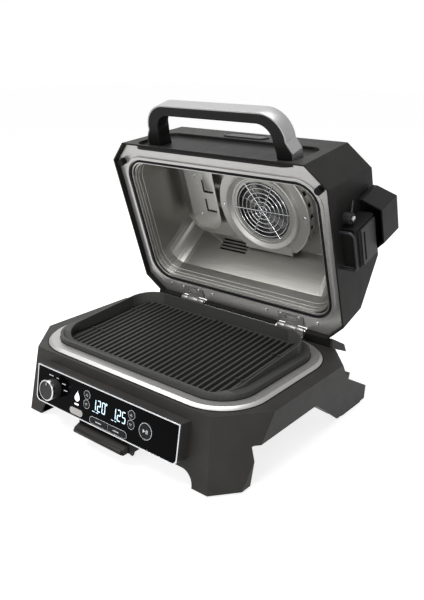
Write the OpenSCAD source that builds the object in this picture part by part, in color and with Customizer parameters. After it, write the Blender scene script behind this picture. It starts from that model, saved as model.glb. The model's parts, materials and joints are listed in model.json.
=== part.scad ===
// Countertop electric grill and smoker with a hinged lid, standing open.
// Millimetres. The origin is the centre of the footprint on the floor, +Z is up
// and the control panel faces -Y.

/* [Base] */
// Width of the base across its deck
base_w = 497; // [485:1:520]
// Depth of the deck from front edge to rear wall
deck_d = 308.5; // [300:0.5:320]
// Height of the deck above the floor
deck_h = 116; // [112:1:124]
// Depth of the footprint from front feet to rear feet
foot_d = 400; // [390:1:412]
// Lean of the front wall and its corners, bottom forward
front_lean = 10; // [8:0.5:12]
// Lean of each side wall, bottom inward
side_lean = 8.6; // [7:0.2:10]
// Wall of the moulded base
base_wall = 3.5; // [2.5:0.5:5]
// Thickness of the deck
deck_t = 4; // [3:0.5:6]
// Front corner cut, measured along X at the deck
front_cut_x = 58.5; // [50:0.5:66]
// Front corner cut, measured along Y at the deck
front_cut_y = 70.7; // [60:0.5:78]
// Rear corner cut, measured along X at the deck
rear_cut_x = 41.5; // [34:0.5:46]
// Rear corner cut, measured along Y at the deck
rear_cut_y = 47; // [40:1:52]
// Lean of the rear corners, bottom outward
rear_lean = 22; // [18:1:26]
// Lower edge of the front wall above the floor
front_skirt_z = 27; // [22:1:32]
// Lower edge of the side walls above the floor
side_skirt_z = 69; // [62:1:76]
// Lower edge of the rear wall above the floor
rear_skirt_z = 45; // [40:1:46]
// Fillet where the front wall runs into a leg
arch_r = 22; // [14:1:24]
// Inner edge of each front leg from the middle
leg_in_x = 170; // [160:1:180]
// Depth of each front leg at the side
leg_front_d = 59; // [50:1:66]
// Width of each raked rear leg
leg_rear_w = 34; // [28:1:38]
// Thickness of the rubber foot pads
foot_t = 3; // [2:0.5:5]
// Sheet of the bottom cover
cover_t = 2.5; // [1.5:0.5:3]

/* [Control pod] */
// Width of the control pod
pod_w = 314; // [300:1:330]
// Height of the control pod along its face
pod_h = 62.7; // [60:0.1:66]
// Depth of the pod in front of the wall
pod_depth = 23.2; // [21:0.2:27]
// Height of the pod's middle on the wall
pod_mid_z = 69.3; // [67:0.1:72]
// Radius of the pod's lower corners
pod_r = 10; // [6:1:14]
// Wall of the pod
pod_wall = 3; // [2.6:0.1:3.4]
// Width of the bright frame around the glass
bezel_w = 2; // [1.5:0.1:3]
// Thickness of the glass
glass_t = 3.2; // [2.4:0.2:4]
// Diameter of the function knob
knob_d = 34; // [30:1:38]
// Height of the function knob
knob_h = 18.5; // [15:0.5:22]
// Knob centre from the panel's middle
knob_x = -111; // [-116:1:-106]
// Knob centre above the panel's middle
knob_y = 1.5; // [-2:0.5:3]
// Radius of the knob's shaft
shaft_r = 3; // [2.5:0.1:3.5]
// Travel of every push button
button_travel = 0.8; // [0.5:0.1:1]
// Radius of the four arrow buttons
arrow_r = 6; // [5:0.1:6.3]
// Radius of the start button
start_r = 11.5; // [9:0.5:13]
// Length of the pill-shaped smoke button
pill_l = 30; // [26:1:32]
// Height of the pill-shaped smoke button
pill_h = 11; // [9:0.5:12]

/* [Cooking well] */
// Deck left beside the steel rim
deck_margin = 26.5; // [24:0.5:28]
// Deck left in front of the steel rim
rim_front_gap = 6.5; // [4:0.5:10]
// Deck left behind the steel rim
rim_rear_gap = 9; // [8:0.5:12]
// Corner radius of the steel rim
rim_r = 80; // [72:1:84]
// Width of the steel rim that shows
rim_band = 19; // [17:0.5:21]
// Width of the sloped outer edge of the steel rim
rim_edge = 5; // [3:0.5:6]
// Height of the steel rim above the deck
rim_t = 5; // [4:0.5:6]
// Width of the ledge that carries the grill plate
ledge_w = 11; // [9:0.5:12]
// Depth of the ledge below the steel rim
ledge_drop = 3; // [2.5:0.5:4]
// Sheet of the cooking pot
pot_wall = 2; // [1.2:0.2:2.6]
// Floor of the cooking pot above the base floor line
pot_floor_z = 57; // [55:0.5:62]
// Radius of the heating tube
tube_r = 4; // [3:0.2:4.6]

/* [Grill plate] */
// Rim of the plate above the steel rim
plate_rise = 8.5; // [6:0.5:9]
// Depth of the plate's front below its rim
plate_depth = 23; // [20:0.5:24]
// Fall of the ribbed floor towards the front
plate_tilt = 4; // [3:0.2:4.4]
// Rear wall of the plate above its rim
back_h = 20; // [14:0.5:20.5]
// Spacing of the grill ribs
rib_pitch = 11.5; // [10:0.5:14]
// Height of the grill ribs
rib_h = 7; // [5:0.5:9]
// Ribbed field inside the plate's rim
rib_margin = 19; // [18.5:0.5:21]

/* [Drip tray] */
// Width of the drip tray
tray_w = 110; // [96:1:120]
// Length of the drip tray
tray_l = 250; // [220:2:270]
// Height of the drip tray
tray_h = 15.5; // [13:0.5:17]
// Underside of the drip tray above the floor
tray_z = 20.5; // [18.5:0.5:21]
// How far the tray's lip stands in front of the front feet
tray_reach = 26; // [22:1:30]

/* [Hinge] */
// Distance of each hinge from the middle
hinge_x = 113.5; // [95:0.5:125]
// Hinge axis above the deck
hinge_up = 12.3; // [11.5:0.1:13]
// Hinge axis behind the rear wall
hinge_back = 6.8; // [6:0.1:8]
// Radius of the hinge knuckles
knuckle_r = 6; // [5:0.1:6]
// Radius of the hinge pins
pin_r = 2.5; // [2:0.1:3]
// Length of each hinge
hinge_l = 55; // [48:1:60]

/* [Lid] */
// Angle at which the lid stands open
lid_open = 72.6; // [0:0.1:72.6]
// Height of the lid
lid_h = 145; // [132:1:160]
// Wall of the moulded lid
lid_wall = 3; // [2.5:0.5:4]
// Gap between the closed lid and the steel rim
lid_gap = 1; // [0.6:0.1:1.5]
// Lid standing out in front of the deck
lid_overhang = 7.8; // [5:0.2:10]
// Lid standing out beside the steel rim
lid_side_over = 3; // [2:0.5:4]
// Rear edge of the lid in front of the hinge axis
lid_rear_set = 1.1; // [1:0.1:2]
// Lean of the lid's front face
lid_front_lean = 11; // [9:0.5:13]
// Lean of the lid's side faces
lid_side_lean = 3.2; // [2:0.2:4]
// Slope of the lid's rear face from upright
lid_rear_slope = 36.5; // [34:0.5:38]
// Height of the upright lip at the lid's rear
lid_lip_h = 22; // [20:1:26]
// Corner cuts of the lid
lid_cut = 36; // [32:1:40]
// Recess of the steel rim plate inside the lid's lip
rim_recess = 10; // [9.5:0.5:11]
// Space for the fan motor between the chamber's ceiling and the lid's top
roof_gap = 29; // [27:0.5:33]
// Corner radius that the lid's opening follows
opening_r = 60; // [54:1:66]

/* [Handle] */
// Reach of the handle in front of the lid's lower edge
handle_reach = 62; // [56:1:70]
// Half length of the handle's straight bar
handle_bar = 98; // [86:1:106]
// Outer corner radius of the handle
handle_r = 45; // [38:1:48]
// Half width of the handle at its feet
handle_foot = 152; // [148:1:158]
// Thickness of the handle's bar
handle_t = 18; // [15:0.5:22]
// Thickness of the steel strap on the handle
strap_t = 2.5; // [1.5:0.5:4]
// Depth of the handle along the lid's face
handle_deep = 29; // [24:1:32]
// Depth of the pocket that the handle stands in
pocket_depth = 6; // [4:0.5:8]

/* [Fan] */
// Fan centre from the middle
fan_x = 20; // [10:1:25]
// Fan centre in front of the hinge axis
fan_v = 170; // [168:1:171]
// Radius of the round fan cover
fan_cover_r = 97; // [90:1:98]
// Radius of the guarded opening in the fan cover
fan_hole_r = 57; // [52:1:60]
// Height of the fan cover below the chamber's ceiling
fan_cover_h = 18; // [16.5:0.5:20]
// Number of fan blades
blades = 9; // [5:1:11]

/* [Smoke box] */
// Rear end of the smoke box in front of the hinge axis
smoke_v0 = 142; // [136:1:150]
// Length of the smoke box along the lid
smoke_l = 69; // [62:1:74]
// Outer face of the smoke box from the lid's lower edge
smoke_out = 25; // [22:1:30]
// Underside of the smoke box above the lid's rim
smoke_w0 = 26; // [24:1:30]
// Height of the smoke box
smoke_h = 58; // [52:1:60]
// Top of the hinged cap below the lid's top
cap_drop = 8.5; // [8.5:0.5:14]

/* [Clearances] */
// Running clearance around pins and shafts
run_fit = 0.05; // [0.03:0.01:0.08]
// Clearance between parts that move past each other
slip = 0.35; // [0.3:0.05:0.5]
// Clearance between fixed parts that are assembled
fit_gap = 0.2; // [0.1:0.05:0.3]

/* [Hidden] */
$fn = 48;

// Size of a block that is larger than the whole grill
big = 1200;
// Overshoot that keeps cuts from ending on a face
eps = 0.5;

// Place of the front wall at height z, set inwards by t
function front_y(z, t = 0) = -foot_d / 2 + z * tan(front_lean) + t / cos(front_lean);
// Place of the side wall at height z, set inwards by t
function side_x(z, t = 0) = base_w / 2 - (deck_h - z) * tan(side_lean) - t / cos(side_lean);

deck_front_y = front_y(deck_h);
rear_y = deck_front_y + deck_d;
leg_back_y = front_y(0) + leg_front_d;
rear_leg_x = side_x(side_skirt_z) - leg_rear_w;

// Steel rim outline
rim_hw = base_w / 2 - deck_margin;
rim_y0 = deck_front_y + rim_front_gap;
rim_y1 = rear_y - rim_rear_gap;
rim_top = deck_h + rim_t;
ledge_z = rim_top - ledge_drop;
well_e = rim_band + ledge_w;
inner_r_min = 12;
plate_gap = 1.5;
plate_e = rim_band + plate_gap;
plate_rim_z = rim_top + plate_rise;

// Hinge and lid frame
hinge_y = rear_y + hinge_back;
hinge_z = deck_h + hinge_up;
rim_drop = hinge_z - rim_top - lid_gap;
lid_v1 = hinge_y - deck_front_y + lid_overhang;
lid_hw = rim_hw + lid_side_over;

// Place of the lid's side, front and sloped rear faces at height w, set inwards by t
function lid_x(w, t = 0) = lid_hw - w * tan(lid_side_lean) - t / cos(lid_side_lean);
function lid_front(w, t = 0) = lid_v1 - w * tan(lid_front_lean) - t / cos(lid_front_lean);
function lid_rear(w, t = 0) = lid_rear_set + (w - lid_lip_h) * tan(lid_rear_slope) + t / cos(lid_rear_slope);

// Panel heights, measured out from the wall along the panel's normal
glass_back = pod_depth - glass_t;
button_back = glass_back - slip - 1;
board_t = 1.6;
board_z = 8;
knob_gap = 0.4;

// Drip tray places
tray_front_y = -foot_d / 2 - tray_reach;
tray_wall = 1.5;
tray_lip_r = 4;
runner_t = 2;
runner_foot = 11;
cover_z = tray_z + tray_h + 10;

// Fan heights in the lid
liner_t = 1.5;
liner_h = lid_h - roof_gap;
fan_w = liner_h - fan_cover_h;
// The lid's opening clears the plate's raised rear wall
opening_over = 6.5;
liner_e = plate_e + opening_over;

// Smoke box places
smoke_v1 = smoke_v0 + smoke_l;
smoke_w1 = smoke_w0 + smoke_h;
smoke_x = lid_hw + smoke_out;
smoke_wall = 4;
sleeve_in = 21;
sleeve_x = lid_x(smoke_w0) - sleeve_in;
cap_w0 = smoke_w1 + 1.5;
cap_w1 = lid_h - cap_drop;
cap_axis_x = lid_hw + 0.5;
cap_axis_w = cap_w1 + 4.5;
cap_knuckle_r = 4;
cap_pin_r = 1.5;
cap_knuckle_l = 50;
cap_mid_v = (smoke_v0 + smoke_v1) / 2 + 8;

// Flat rounded rectangle between two corners
module rounded_rect(x0, x1, y0, y1, r) {
    translate([x0 + r, y0]) square([x1 - x0 - 2 * r, y1 - y0]);
    translate([x0, y0 + r]) square([x1 - x0, y1 - y0 - 2 * r]);
    for (x = [x0 + r, x1 - r], y = [y0 + r, y1 - r]) translate([x, y]) circle(r);
}

// Outline of the steel rim, set inwards by e
module rim_shape(e) {
    rounded_rect(-rim_hw + e, rim_hw - e, rim_y0 + e, rim_y1 - e, max(rim_r - e, inner_r_min));
}

// Solid that follows the steel rim from inset e0 at height z0 to inset e1 at height z1
module tapered(e0, z0, e1, z1) {
    cx = rim_hw - rim_r;
    cy0 = rim_y0 + rim_r;
    cy1 = rim_y1 - rim_r;
    along_x(-cx, cx) polygon([
        [rim_y0 + e0, z0], [rim_y1 - e0, z0], [rim_y1 - e1, z1], [rim_y0 + e1, z1]
    ]);
    along_y(cy0, cy1) polygon([
        [-rim_hw + e0, z0], [rim_hw - e0, z0], [rim_hw - e1, z1], [-rim_hw + e1, z1]
    ]);
    for (x = [-cx, cx], y = [cy0, cy1])
        translate([x, y, z0]) cylinder(r1 = rim_r - e0, r2 = rim_r - e1, h = z1 - z0);
}

// Upright plate of a flat shape between two heights
module slab(z0, z1) {
    translate([0, 0, z0]) linear_extrude(z1 - z0) children();
}

// Profile in Y and Z drawn out along X
module along_x(x0, x1) {
    translate([x0, 0, 0]) rotate([90, 0, 90]) linear_extrude(x1 - x0) children();
}

// Profile in X and Z drawn out along Y
module along_y(y0, y1) {
    translate([0, y1, 0]) rotate([90, 0, 0]) linear_extrude(y1 - y0) children();
}

module both_sides() {
    for (s = [0, 1]) mirror([s, 0, 0]) children();
}

// Everything outside a corner plane through a point, facing angle a and leaning by lean
module corner_cut(p, a, lean, t) {
    translate(p) rotate([0, 0, a]) rotate([0, -lean, 0]) translate([-t, -big / 2, -big / 2]) cube(big);
}

// Frame on the front wall: X across, Y up the wall, Z out of the wall
module on_wall() {
    translate([0, front_y(pod_mid_z), pod_mid_z]) rotate([90 - front_lean, 0, 0]) children();
}

// Frame of the lid: closed lid drawn flat, then turned open about the hinge axis
module in_lid() {
    translate([0, hinge_y, hinge_z]) rotate([-lid_open, 0, 0]) translate([0, 0, -rim_drop]) children();
}

// Outline of the lid's opening, set inwards from the steel rim by e
module lid_rim_shape(e) {
    translate([0, -hinge_y])
        rounded_rect(-rim_hw + e, rim_hw - e, rim_y0 + e, rim_y1 - e, max(opening_r - e, inner_r_min));
}

// Frame on the lid's front face: X across, Y up the face, Z out of the face
module on_lid_front() {
    translate([0, -lid_v1, 0]) rotate([90 - lid_front_lean, 0, 0]) children();
}

// Base body between two heights, set inwards by t
module base_form(t, z0, z1) {
    difference() {
        intersection() {
            along_x(-base_w, base_w) polygon([
                [front_y(z0, t), z0], [rear_y - t, z0], [rear_y - t, z1], [front_y(z1, t), z1]
            ]);
            along_y(-big / 2, big / 2) polygon([
                [-side_x(z0, t), z0], [side_x(z0, t), z0], [side_x(z1, t), z1], [-side_x(z1, t), z1]
            ]);
        }
        both_sides() {
            corner_cut([base_w / 2 - front_cut_x, deck_front_y, deck_h],
                atan2(-front_cut_x, front_cut_y), front_lean, t);
            corner_cut([base_w / 2 - rear_cut_x, rear_y, deck_h],
                atan2(rear_cut_x, rear_cut_y), rear_lean, t);
        }
    }
}

// Side view of a raked rear leg
rear_leg_end = foot_d / 2;
rear_leg_l = 90;
rear_leg_top = 33;
rear_leg_rake = 7;
shoulder_y = rear_y - 15;
shoulder_z = side_skirt_z + 9;
rear_leg_knee = 112;
leg_knee_y = rear_y - rear_leg_knee;
module rear_leg_side() {
    polygon([
        [leg_knee_y, side_skirt_z], [rear_leg_end - rear_leg_l, foot_t], [rear_leg_end, foot_t],
        [rear_leg_end - rear_leg_rake, rear_leg_top], [shoulder_y, shoulder_z],
        [shoulder_y, shoulder_z + 12], [leg_knee_y, shoulder_z + 12]
    ]);
}

// Opening under the front wall between the legs
module front_arch() {
    translate([-leg_in_x + arch_r, -eps]) square([2 * (leg_in_x - arch_r), front_skirt_z + eps]);
    translate([-leg_in_x, -eps]) square([2 * leg_in_x, front_skirt_z - arch_r + eps]);
    for (x = [-1, 1]) translate([x * (leg_in_x - arch_r), front_skirt_z - arch_r]) circle(arch_r);
}

hinge_ledge_h = 24;
hinge_ledge_over = 4;
tray_slot_gap = 8;
vent_pitch = 14;
vent_count = 15;
vent_size = [5, 22];
module base_housing() color("#34343a") {
    difference() {
        union() {
            difference() {
                base_form(0, foot_t, deck_h);
                base_form(base_wall, -eps, deck_h - deck_t);
                along_y(-big / 2, leg_back_y) front_arch();
                along_x(-big / 2, big / 2) polygon([
                    [leg_back_y, -eps], [leg_back_y, side_skirt_z], [leg_knee_y, side_skirt_z],
                    [rear_leg_end - rear_leg_l, -eps]
                ]);
                translate([-rear_leg_x, rear_y - base_wall - 2 * eps, -eps])
                    cube([2 * rear_leg_x, base_wall + 4 * eps, rear_skirt_z + eps]);
            }
            // Solid front legs
            intersection() {
                base_form(0, foot_t, side_skirt_z + 8);
                both_sides() translate([leg_in_x, -big / 2, 0]) cube([big, big / 2 + leg_back_y, big]);
            }
            // Raked rear legs in the plane of the side walls
            intersection() {
                both_sides() along_x(rear_leg_x, base_w) rear_leg_side();
                along_y(-big / 2, big / 2) polygon([
                    [-side_x(0), 0], [side_x(0), 0], [side_x(deck_h), deck_h], [-side_x(deck_h), deck_h]
                ]);
            }
            // Ledges on the rear wall for the hinge brackets
            for (x = [-hinge_x, hinge_x])
                along_x(x - hinge_l / 2 - hinge_ledge_over, x + hinge_l / 2 + hinge_ledge_over) polygon([
                    [rear_y - base_wall, deck_h - hinge_ledge_h], [rear_y, deck_h - hinge_ledge_h],
                    [hinge_y + knuckle_r + 1, deck_h - deck_t], [hinge_y + knuckle_r + 1, deck_h],
                    [rear_y - base_wall, deck_h]
                ]);
        }
        slab(deck_h - deck_t - eps, deck_h + eps) rim_shape(well_e - pot_wall - 1);
        // Slot in the front wall for the tray and its runners
        translate([-tray_w / 2 - tray_slot_gap, -big / 2, -eps])
            cube([tray_w + 2 * tray_slot_gap, big / 2 + front_y(cover_z, base_wall + 2 * eps), cover_z + eps]);
        // Cooling slots in the rear wall
        for (i = [0 : vent_count - 1])
            translate([(i - (vent_count - 1) / 2) * vent_pitch - vent_size[0] / 2, rear_y - base_wall - eps,
                deck_h - hinge_ledge_h - vent_size[1] - 4])
                cube([vent_size[0], base_wall + 2 * eps, vent_size[1]]);
    }
}

// Flat cover with turned-up wings that closes the underside
wing_y1 = leg_knee_y - 1;
wing_top = side_skirt_z + 2;
module bottom_cover() color("#2b2b2e") {
    front_in = front_y(cover_z, base_wall + slip);
    leg_gap_x = leg_in_x - slip;
    wide_x = rear_leg_x - slip;
    difference() {
        intersection() {
            union() {
                slab(cover_z, cover_z + cover_t) {
                    translate([-leg_gap_x, front_in]) square([2 * leg_gap_x, leg_back_y + 1 - front_in]);
                    translate([-wide_x, leg_back_y + slip])
                        square([2 * wide_x, rear_y - base_wall - slip - leg_back_y - slip]);
                }
                both_sides() along_y(leg_back_y + slip, wing_y1) polygon([
                    [wide_x - 1, cover_z], [side_x(wing_top, base_wall + slip), wing_top],
                    [side_x(wing_top, base_wall + slip), wing_top + cover_t], [wide_x - 1, cover_z + cover_t]
                ]);
            }
            base_form(base_wall + slip, foot_t, deck_h);
        }
        translate([0, drain_y, cover_z - eps]) cylinder(r = drain_r + slip, h = cover_t + 2 * eps);
    }
}

foot_pad_r = 17;
module front_feet() color("#1c1c1e") {
    both_sides() translate([leg_in_x + foot_pad_r + 8, leg_back_y - foot_pad_r - 8, 0])
        cylinder(r = foot_pad_r, h = foot_t);
}

pad_edge = 4;
pad_shift = 3;
module rear_feet() color("#1c1c1e") {
    pad_r = leg_rear_w / 2 - pad_edge;
    pad_x = side_x(foot_t) - leg_rear_w / 2 + pad_shift;
    pad_y0 = rear_leg_end - rear_leg_l + pad_r + pad_edge;
    pad_y1 = rear_leg_end - pad_r - pad_edge / 2;
    both_sides() slab(0, foot_t) {
        for (y = [pad_y0, pad_y1]) translate([pad_x, y]) circle(pad_r);
        translate([pad_x - pad_r, pad_y0]) square([2 * pad_r, pad_y1 - pad_y0]);
    }
}

// Raked stand-off tabs on the rear corners
spacer_t = 4.5;
spacer_rise = 16.8;
spacer_reach = 43.5;
spacer_drop = 24.5;
spacer_end = [9, -17.6];
module rear_spacers() color("#2a2a2d") {
    spacer_x = base_w / 2 - rear_cut_x - 7;
    top_y = rear_y + 0.8;
    both_sides() along_x(spacer_x - spacer_t, spacer_x) polygon([
        [rear_y, deck_h - 12], [top_y + 8.5, deck_h + spacer_rise - 21.5],
        [top_y + spacer_reach + spacer_end[0], deck_h + spacer_rise - spacer_drop + spacer_end[1]],
        [top_y + spacer_reach, deck_h + spacer_rise - spacer_drop],
        [top_y, deck_h + spacer_rise], [rear_y, deck_h + rim_t]
    ]);
}

// Gland where the mains lead enters
inlet_r = 9;
inlet_l = 16;
inlet_flange = 5;
inlet_flange_t = 4;
inlet_side = 85;
inlet_drop = 52;
module cord_inlet() color("#202022") {
    translate([inlet_side - base_w / 2, rear_y, deck_h - inlet_drop]) rotate([-90, 0, 0]) difference() {
        union() {
            cylinder(r = inlet_r + inlet_flange, h = inlet_flange_t);
            cylinder(r = inlet_r, h = inlet_l);
        }
        translate([0, 0, inlet_flange_t]) cylinder(r = inlet_r / 2, h = inlet_l);
    }
}

// Outline of the control panel, set inwards by t: square top corners, round lower ones
module panel_shape(t) {
    hw = pod_w / 2 - t;
    hh = pod_h / 2 - t;
    r = pod_r - min(t, pod_r - 2);
    translate([-hw, -hh + r]) square([2 * hw, 2 * hh - r]);
    translate([-hw + r, -hh]) square([2 * hw - 2 * r, r + eps]);
    for (x = [-hw + r, hw - r]) translate([x, -hh + r]) circle(r);
}

// Panel places: x across, y up from the panel's middle
arrow_x = [-35, 63];
arrow_y = [14, -1.4];
start_pos = [93, -1.4];
pill_pos = [-57, -21];
oval_pos = [15.4, -22.3];
oval_size = [79, 10];
oval_gap = 1.6;
screen_x = [-20, 54];
screen_y = [-8, 18];
board_post_x = pod_w / 2 - pod_wall - 8;

module control_pod() color("#2e2e32") on_wall() {
    difference() {
        slab(0, glass_back) panel_shape(0);
        slab(base_wall, pod_depth) panel_shape(pod_wall);
    }
    for (x = [-board_post_x, board_post_x], y = [-pod_h / 4, pod_h / 4])
        translate([x, y, base_wall - eps]) cylinder(r = 4, h = board_z - base_wall + eps);
}

module panel_bezel() color("#c9c9cc") on_wall() {
    slab(glass_back, pod_depth) difference() {
        panel_shape(0);
        panel_shape(bezel_w);
    }
}

// Round holes for the knob and buttons, opened by g
module panel_holes(g) {
    translate([knob_x, knob_y]) circle(shaft_r + 1);
    for (x = arrow_x, y = arrow_y) translate([x, y]) circle(arrow_r + g);
    translate(start_pos) circle(start_r + g);
    translate(pill_pos) pill_shape(g);
    for (s = [-1, 1]) translate(oval_pos) half_oval(s, g);
}

module pill_shape(g) {
    r = pill_h / 2 + g;
    translate([-pill_l / 2 + pill_h / 2, -r]) square([pill_l - pill_h, 2 * r]);
    for (s = [-1, 1]) translate([s * (pill_l - pill_h) / 2, 0]) circle(r);
}

// One half of the oval double button, on the side s
module half_oval(s, g) {
    r = oval_size[1] / 2 + g;
    flat_l = oval_size[0] / 2 - oval_size[1] / 2 - oval_gap / 2 + g;
    mirror([s < 0 ? 1 : 0, 0]) {
        translate([oval_gap / 2 - g, -r]) square([flat_l, 2 * r]);
        translate([oval_gap / 2 - g + flat_l, 0]) circle(r);
    }
}

module panel_glass() color("#0a0a0c") on_wall() {
    slab(glass_back, pod_depth - fit_gap) difference() {
        panel_shape(bezel_w + fit_gap);
        panel_holes(slip);
    }
}

switch_r = 2.5;
button_places = concat(
    [for (x = arrow_x, y = arrow_y) [x, y]],
    [start_pos, pill_pos],
    [for (s = [-1, 1]) oval_pos + [s * oval_size[0] / 4, 0]]
);
module control_board() color("#1d4a2c") on_wall() {
    translate([-board_post_x - 5, -pod_h / 2 + pod_wall + 3, board_z])
        cube([2 * board_post_x + 10, pod_h - 2 * pod_wall - 6, board_t]);
    for (p = button_places) translate([p[0], p[1], board_z + board_t / 2])
        cylinder(r = switch_r, h = button_back - button_travel - slip - board_z - board_t / 2);
}

module display_module() color("#10202c") on_wall() {
    translate([screen_x[0], screen_y[0], board_z + board_t])
        cube([screen_x[1] - screen_x[0], screen_y[1] - screen_y[0], glass_back - slip - board_z - board_t]);
}

encoder_w = 14;
shaft_top = pod_depth + knob_h * 0.62;
module knob_encoder() color("#8a8a8e") on_wall() translate([knob_x, knob_y, 0]) {
    translate([-encoder_w / 2, -encoder_w / 2, board_z + board_t])
        cube([encoder_w, encoder_w, glass_back - 1 - board_z - board_t]);
    translate([0, 0, glass_back - 2]) cylinder(r = shaft_r, h = shaft_top - glass_back + 2);
}

knob_ring_w = 2;
knob_ring_h = 5;
knob_z0 = pod_depth + knob_gap;
module knob_body() color("#3a3a3e") on_wall() translate([knob_x, knob_y, knob_z0]) {
    difference() {
        union() {
            cylinder(r = knob_d / 2 - 0.8, h = knob_h - knob_ring_h);
            cylinder(r = knob_d / 2 - knob_ring_w, h = knob_h - 1);
        }
        translate([0, 0, -eps]) cylinder(r = shaft_r + run_fit, h = shaft_top - knob_z0 + slip + eps);
        // Pointer groove in the face
        translate([-0.8, knob_d / 4 - 2, knob_h - 2]) cube([1.6, knob_d / 4 - knob_ring_w + 1, 2]);
    }
}

module knob_ring() color("#d5d5d8") on_wall() translate([knob_x, knob_y, knob_z0 + knob_h - knob_ring_h]) {
    rotate_extrude() polygon([
        [knob_d / 2 - knob_ring_w + run_fit, 0], [knob_d / 2, 0], [knob_d / 2, knob_ring_h - 1],
        [knob_d / 2 - 1, knob_ring_h], [knob_d / 2 - knob_ring_w + run_fit, knob_ring_h]
    ]);
}

button_proud = 0.6;
// Push button with a retaining flange behind the glass
module button_cap() {
    slab(button_back, pod_depth + button_proud) children(0);
    slab(button_back, button_back + 1) children(1);
}

module round_button(p, r) on_wall() translate(p) button_cap() {
    circle(r);
    circle(r + 1.2);
}

module start_button() color("#161618") round_button(start_pos, start_r);
module temp_up_button() color("#161618") round_button([arrow_x[0], arrow_y[0]], arrow_r);
module temp_down_button() color("#161618") round_button([arrow_x[0], arrow_y[1]], arrow_r);
module time_up_button() color("#161618") round_button([arrow_x[1], arrow_y[0]], arrow_r);
module time_down_button() color("#161618") round_button([arrow_x[1], arrow_y[1]], arrow_r);

module smoke_button() color("#8d8d90") on_wall() translate(pill_pos) button_cap() {
    pill_shape(0);
    pill_shape(0.5);
}

module preset_button() color("#161618") on_wall() translate(oval_pos) button_cap() {
    half_oval(-1, 0);
    half_oval(-1, 0.3);
}

module manual_button() color("#161618") on_wall() translate(oval_pos) button_cap() {
    half_oval(1, 0);
    half_oval(1, 0.3);
}

// Heating tube loop below the grill plate
loop_e = 62;
loop_r = 34;
loop_z = pot_floor_z + tube_r + 7;
loop_end_x = 30;
bend_r = 14;
drain_r = 9;
drain_y = rim_y0 + well_e + 30;
rim_edge_h = rim_t - 1;
module cooking_pot() color("#c4c4c6") {
    difference() {
        union() {
            slab(deck_h, rim_top - rim_edge_h) rim_shape(0);
            tapered(0, rim_top - rim_edge_h, rim_edge, rim_top);
            slab(pot_floor_z - pot_wall, deck_h + eps) rim_shape(well_e - pot_wall);
        }
        slab(ledge_z, rim_top + eps) rim_shape(rim_band);
        slab(pot_floor_z, rim_top + eps) rim_shape(well_e);
        translate([0, drain_y, pot_floor_z - pot_wall - eps])
            cylinder(r = drain_r + fit_gap, h = pot_wall + 2 * eps);
        for (x = [-loop_end_x, loop_end_x]) translate([x, rim_y1 - well_e - eps, loop_z])
            rotate([-90, 0, 0]) cylinder(r = tube_r + fit_gap, h = pot_wall + 2 * eps);
    }
}

// Overlap of a straight rod into its bend
lap = 0.2;
module rod_x(x0, x1, y, z, r) {
    translate([x0, y, z]) rotate([0, 90, 0]) cylinder(r = r, h = x1 - x0);
}

module rod_y(x, y0, y1, z, r) {
    translate([x, y0, z]) rotate([-90, 0, 0]) cylinder(r = r, h = y1 - y0);
}

module bend(x, y, z, r, tr, a) {
    translate([x, y, z]) rotate([0, 0, a]) rotate_extrude(angle = 90) translate([r, 0]) circle(tr);
}

// Clip around the heating tube where a straight run meets a bend
clip_t = 1;
clip_l = 5;
module lower_element() color("#4a4a4c") {
    x1 = rim_hw - loop_e;
    y0 = rim_y0 + loop_e;
    y1 = rim_y1 - loop_e;
    clip_r = tube_r + clip_t;
    rod_x(-x1 + loop_r, x1 - loop_r, y0, loop_z, tube_r);
    both_sides() {
        rod_y(x1, y0 + loop_r, y1 - loop_r, loop_z, tube_r);
        bend(x1 - loop_r, y0 + loop_r, loop_z, loop_r, tube_r, -90);
        bend(x1 - loop_r, y1 - loop_r, loop_z, loop_r, tube_r, 0);
        rod_x(loop_end_x + bend_r, x1 - loop_r, y1, loop_z, tube_r);
        bend(loop_end_x + bend_r, y1 + bend_r, loop_z, bend_r, tube_r, 180);
        rod_y(loop_end_x, y1 + bend_r, rim_y1 - well_e + pot_wall + 12, loop_z, tube_r);
        for (y = [y0, y1]) rod_x(x1 - loop_r - clip_l / 2, x1 - loop_r + clip_l / 2, y, loop_z, clip_r);
        rod_x(loop_end_x + bend_r - clip_l / 2, loop_end_x + bend_r + clip_l / 2, y1, loop_z, clip_r);
        rod_y(loop_end_x, y1 + bend_r - clip_l / 2, y1 + bend_r + clip_l / 2, loop_z, clip_r);
        for (y = [y0 + loop_r, y1 - loop_r]) {
            rod_y(x1, y - clip_l / 2, y + clip_l / 2, loop_z, clip_r);
            translate([x1, y, pot_floor_z]) cylinder(r = clip_l / 2 - clip_t / 2, h = loop_z - pot_floor_z);
        }
    }
}

module drain_spout() color("#a9a9ab") translate([0, drain_y, 0]) {
    drop = tray_z + tray_h + 2;
    difference() {
        union() {
            translate([0, 0, drop]) cylinder(r = drain_r, h = pot_floor_z + 1 - drop);
            translate([0, 0, pot_floor_z]) cylinder(r = drain_r + 4, h = 1);
        }
        translate([0, 0, drop - eps]) cylinder(r = drain_r - 1.5, h = pot_floor_z + 2 - drop + 2 * eps);
    }
}

// Ribbed dish: rim on the ledge, sloped walls, floor that falls to the front and a raised rear wall
plate_wall = 4;
body_e = well_e + plate_gap;
seat_z = ledge_z + slip;
wall_run = 20;
wall_drop = 24.5;
back_e = body_e + 3.5;
back_wall = 3;
ramp_in = 75;
ramp_y = rim_y0 + ramp_in;
ramp_l = 25;
ramp_h = back_h * 0.28;
border_l = 3;
border_gap = 20;
rib_e = plate_e + rib_margin;
rib_l = rim_y1 - rim_y0 - 2 * plate_e - rib_margin;
rib_corner = 28;
rib_hw = rim_hw - rib_e;
rib_w = 7;
rib_top_w = 4;
stud_r = 1.9;
stud_h = 2;
stud_y = [83, 180];
stud_ribs = 3;
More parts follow.
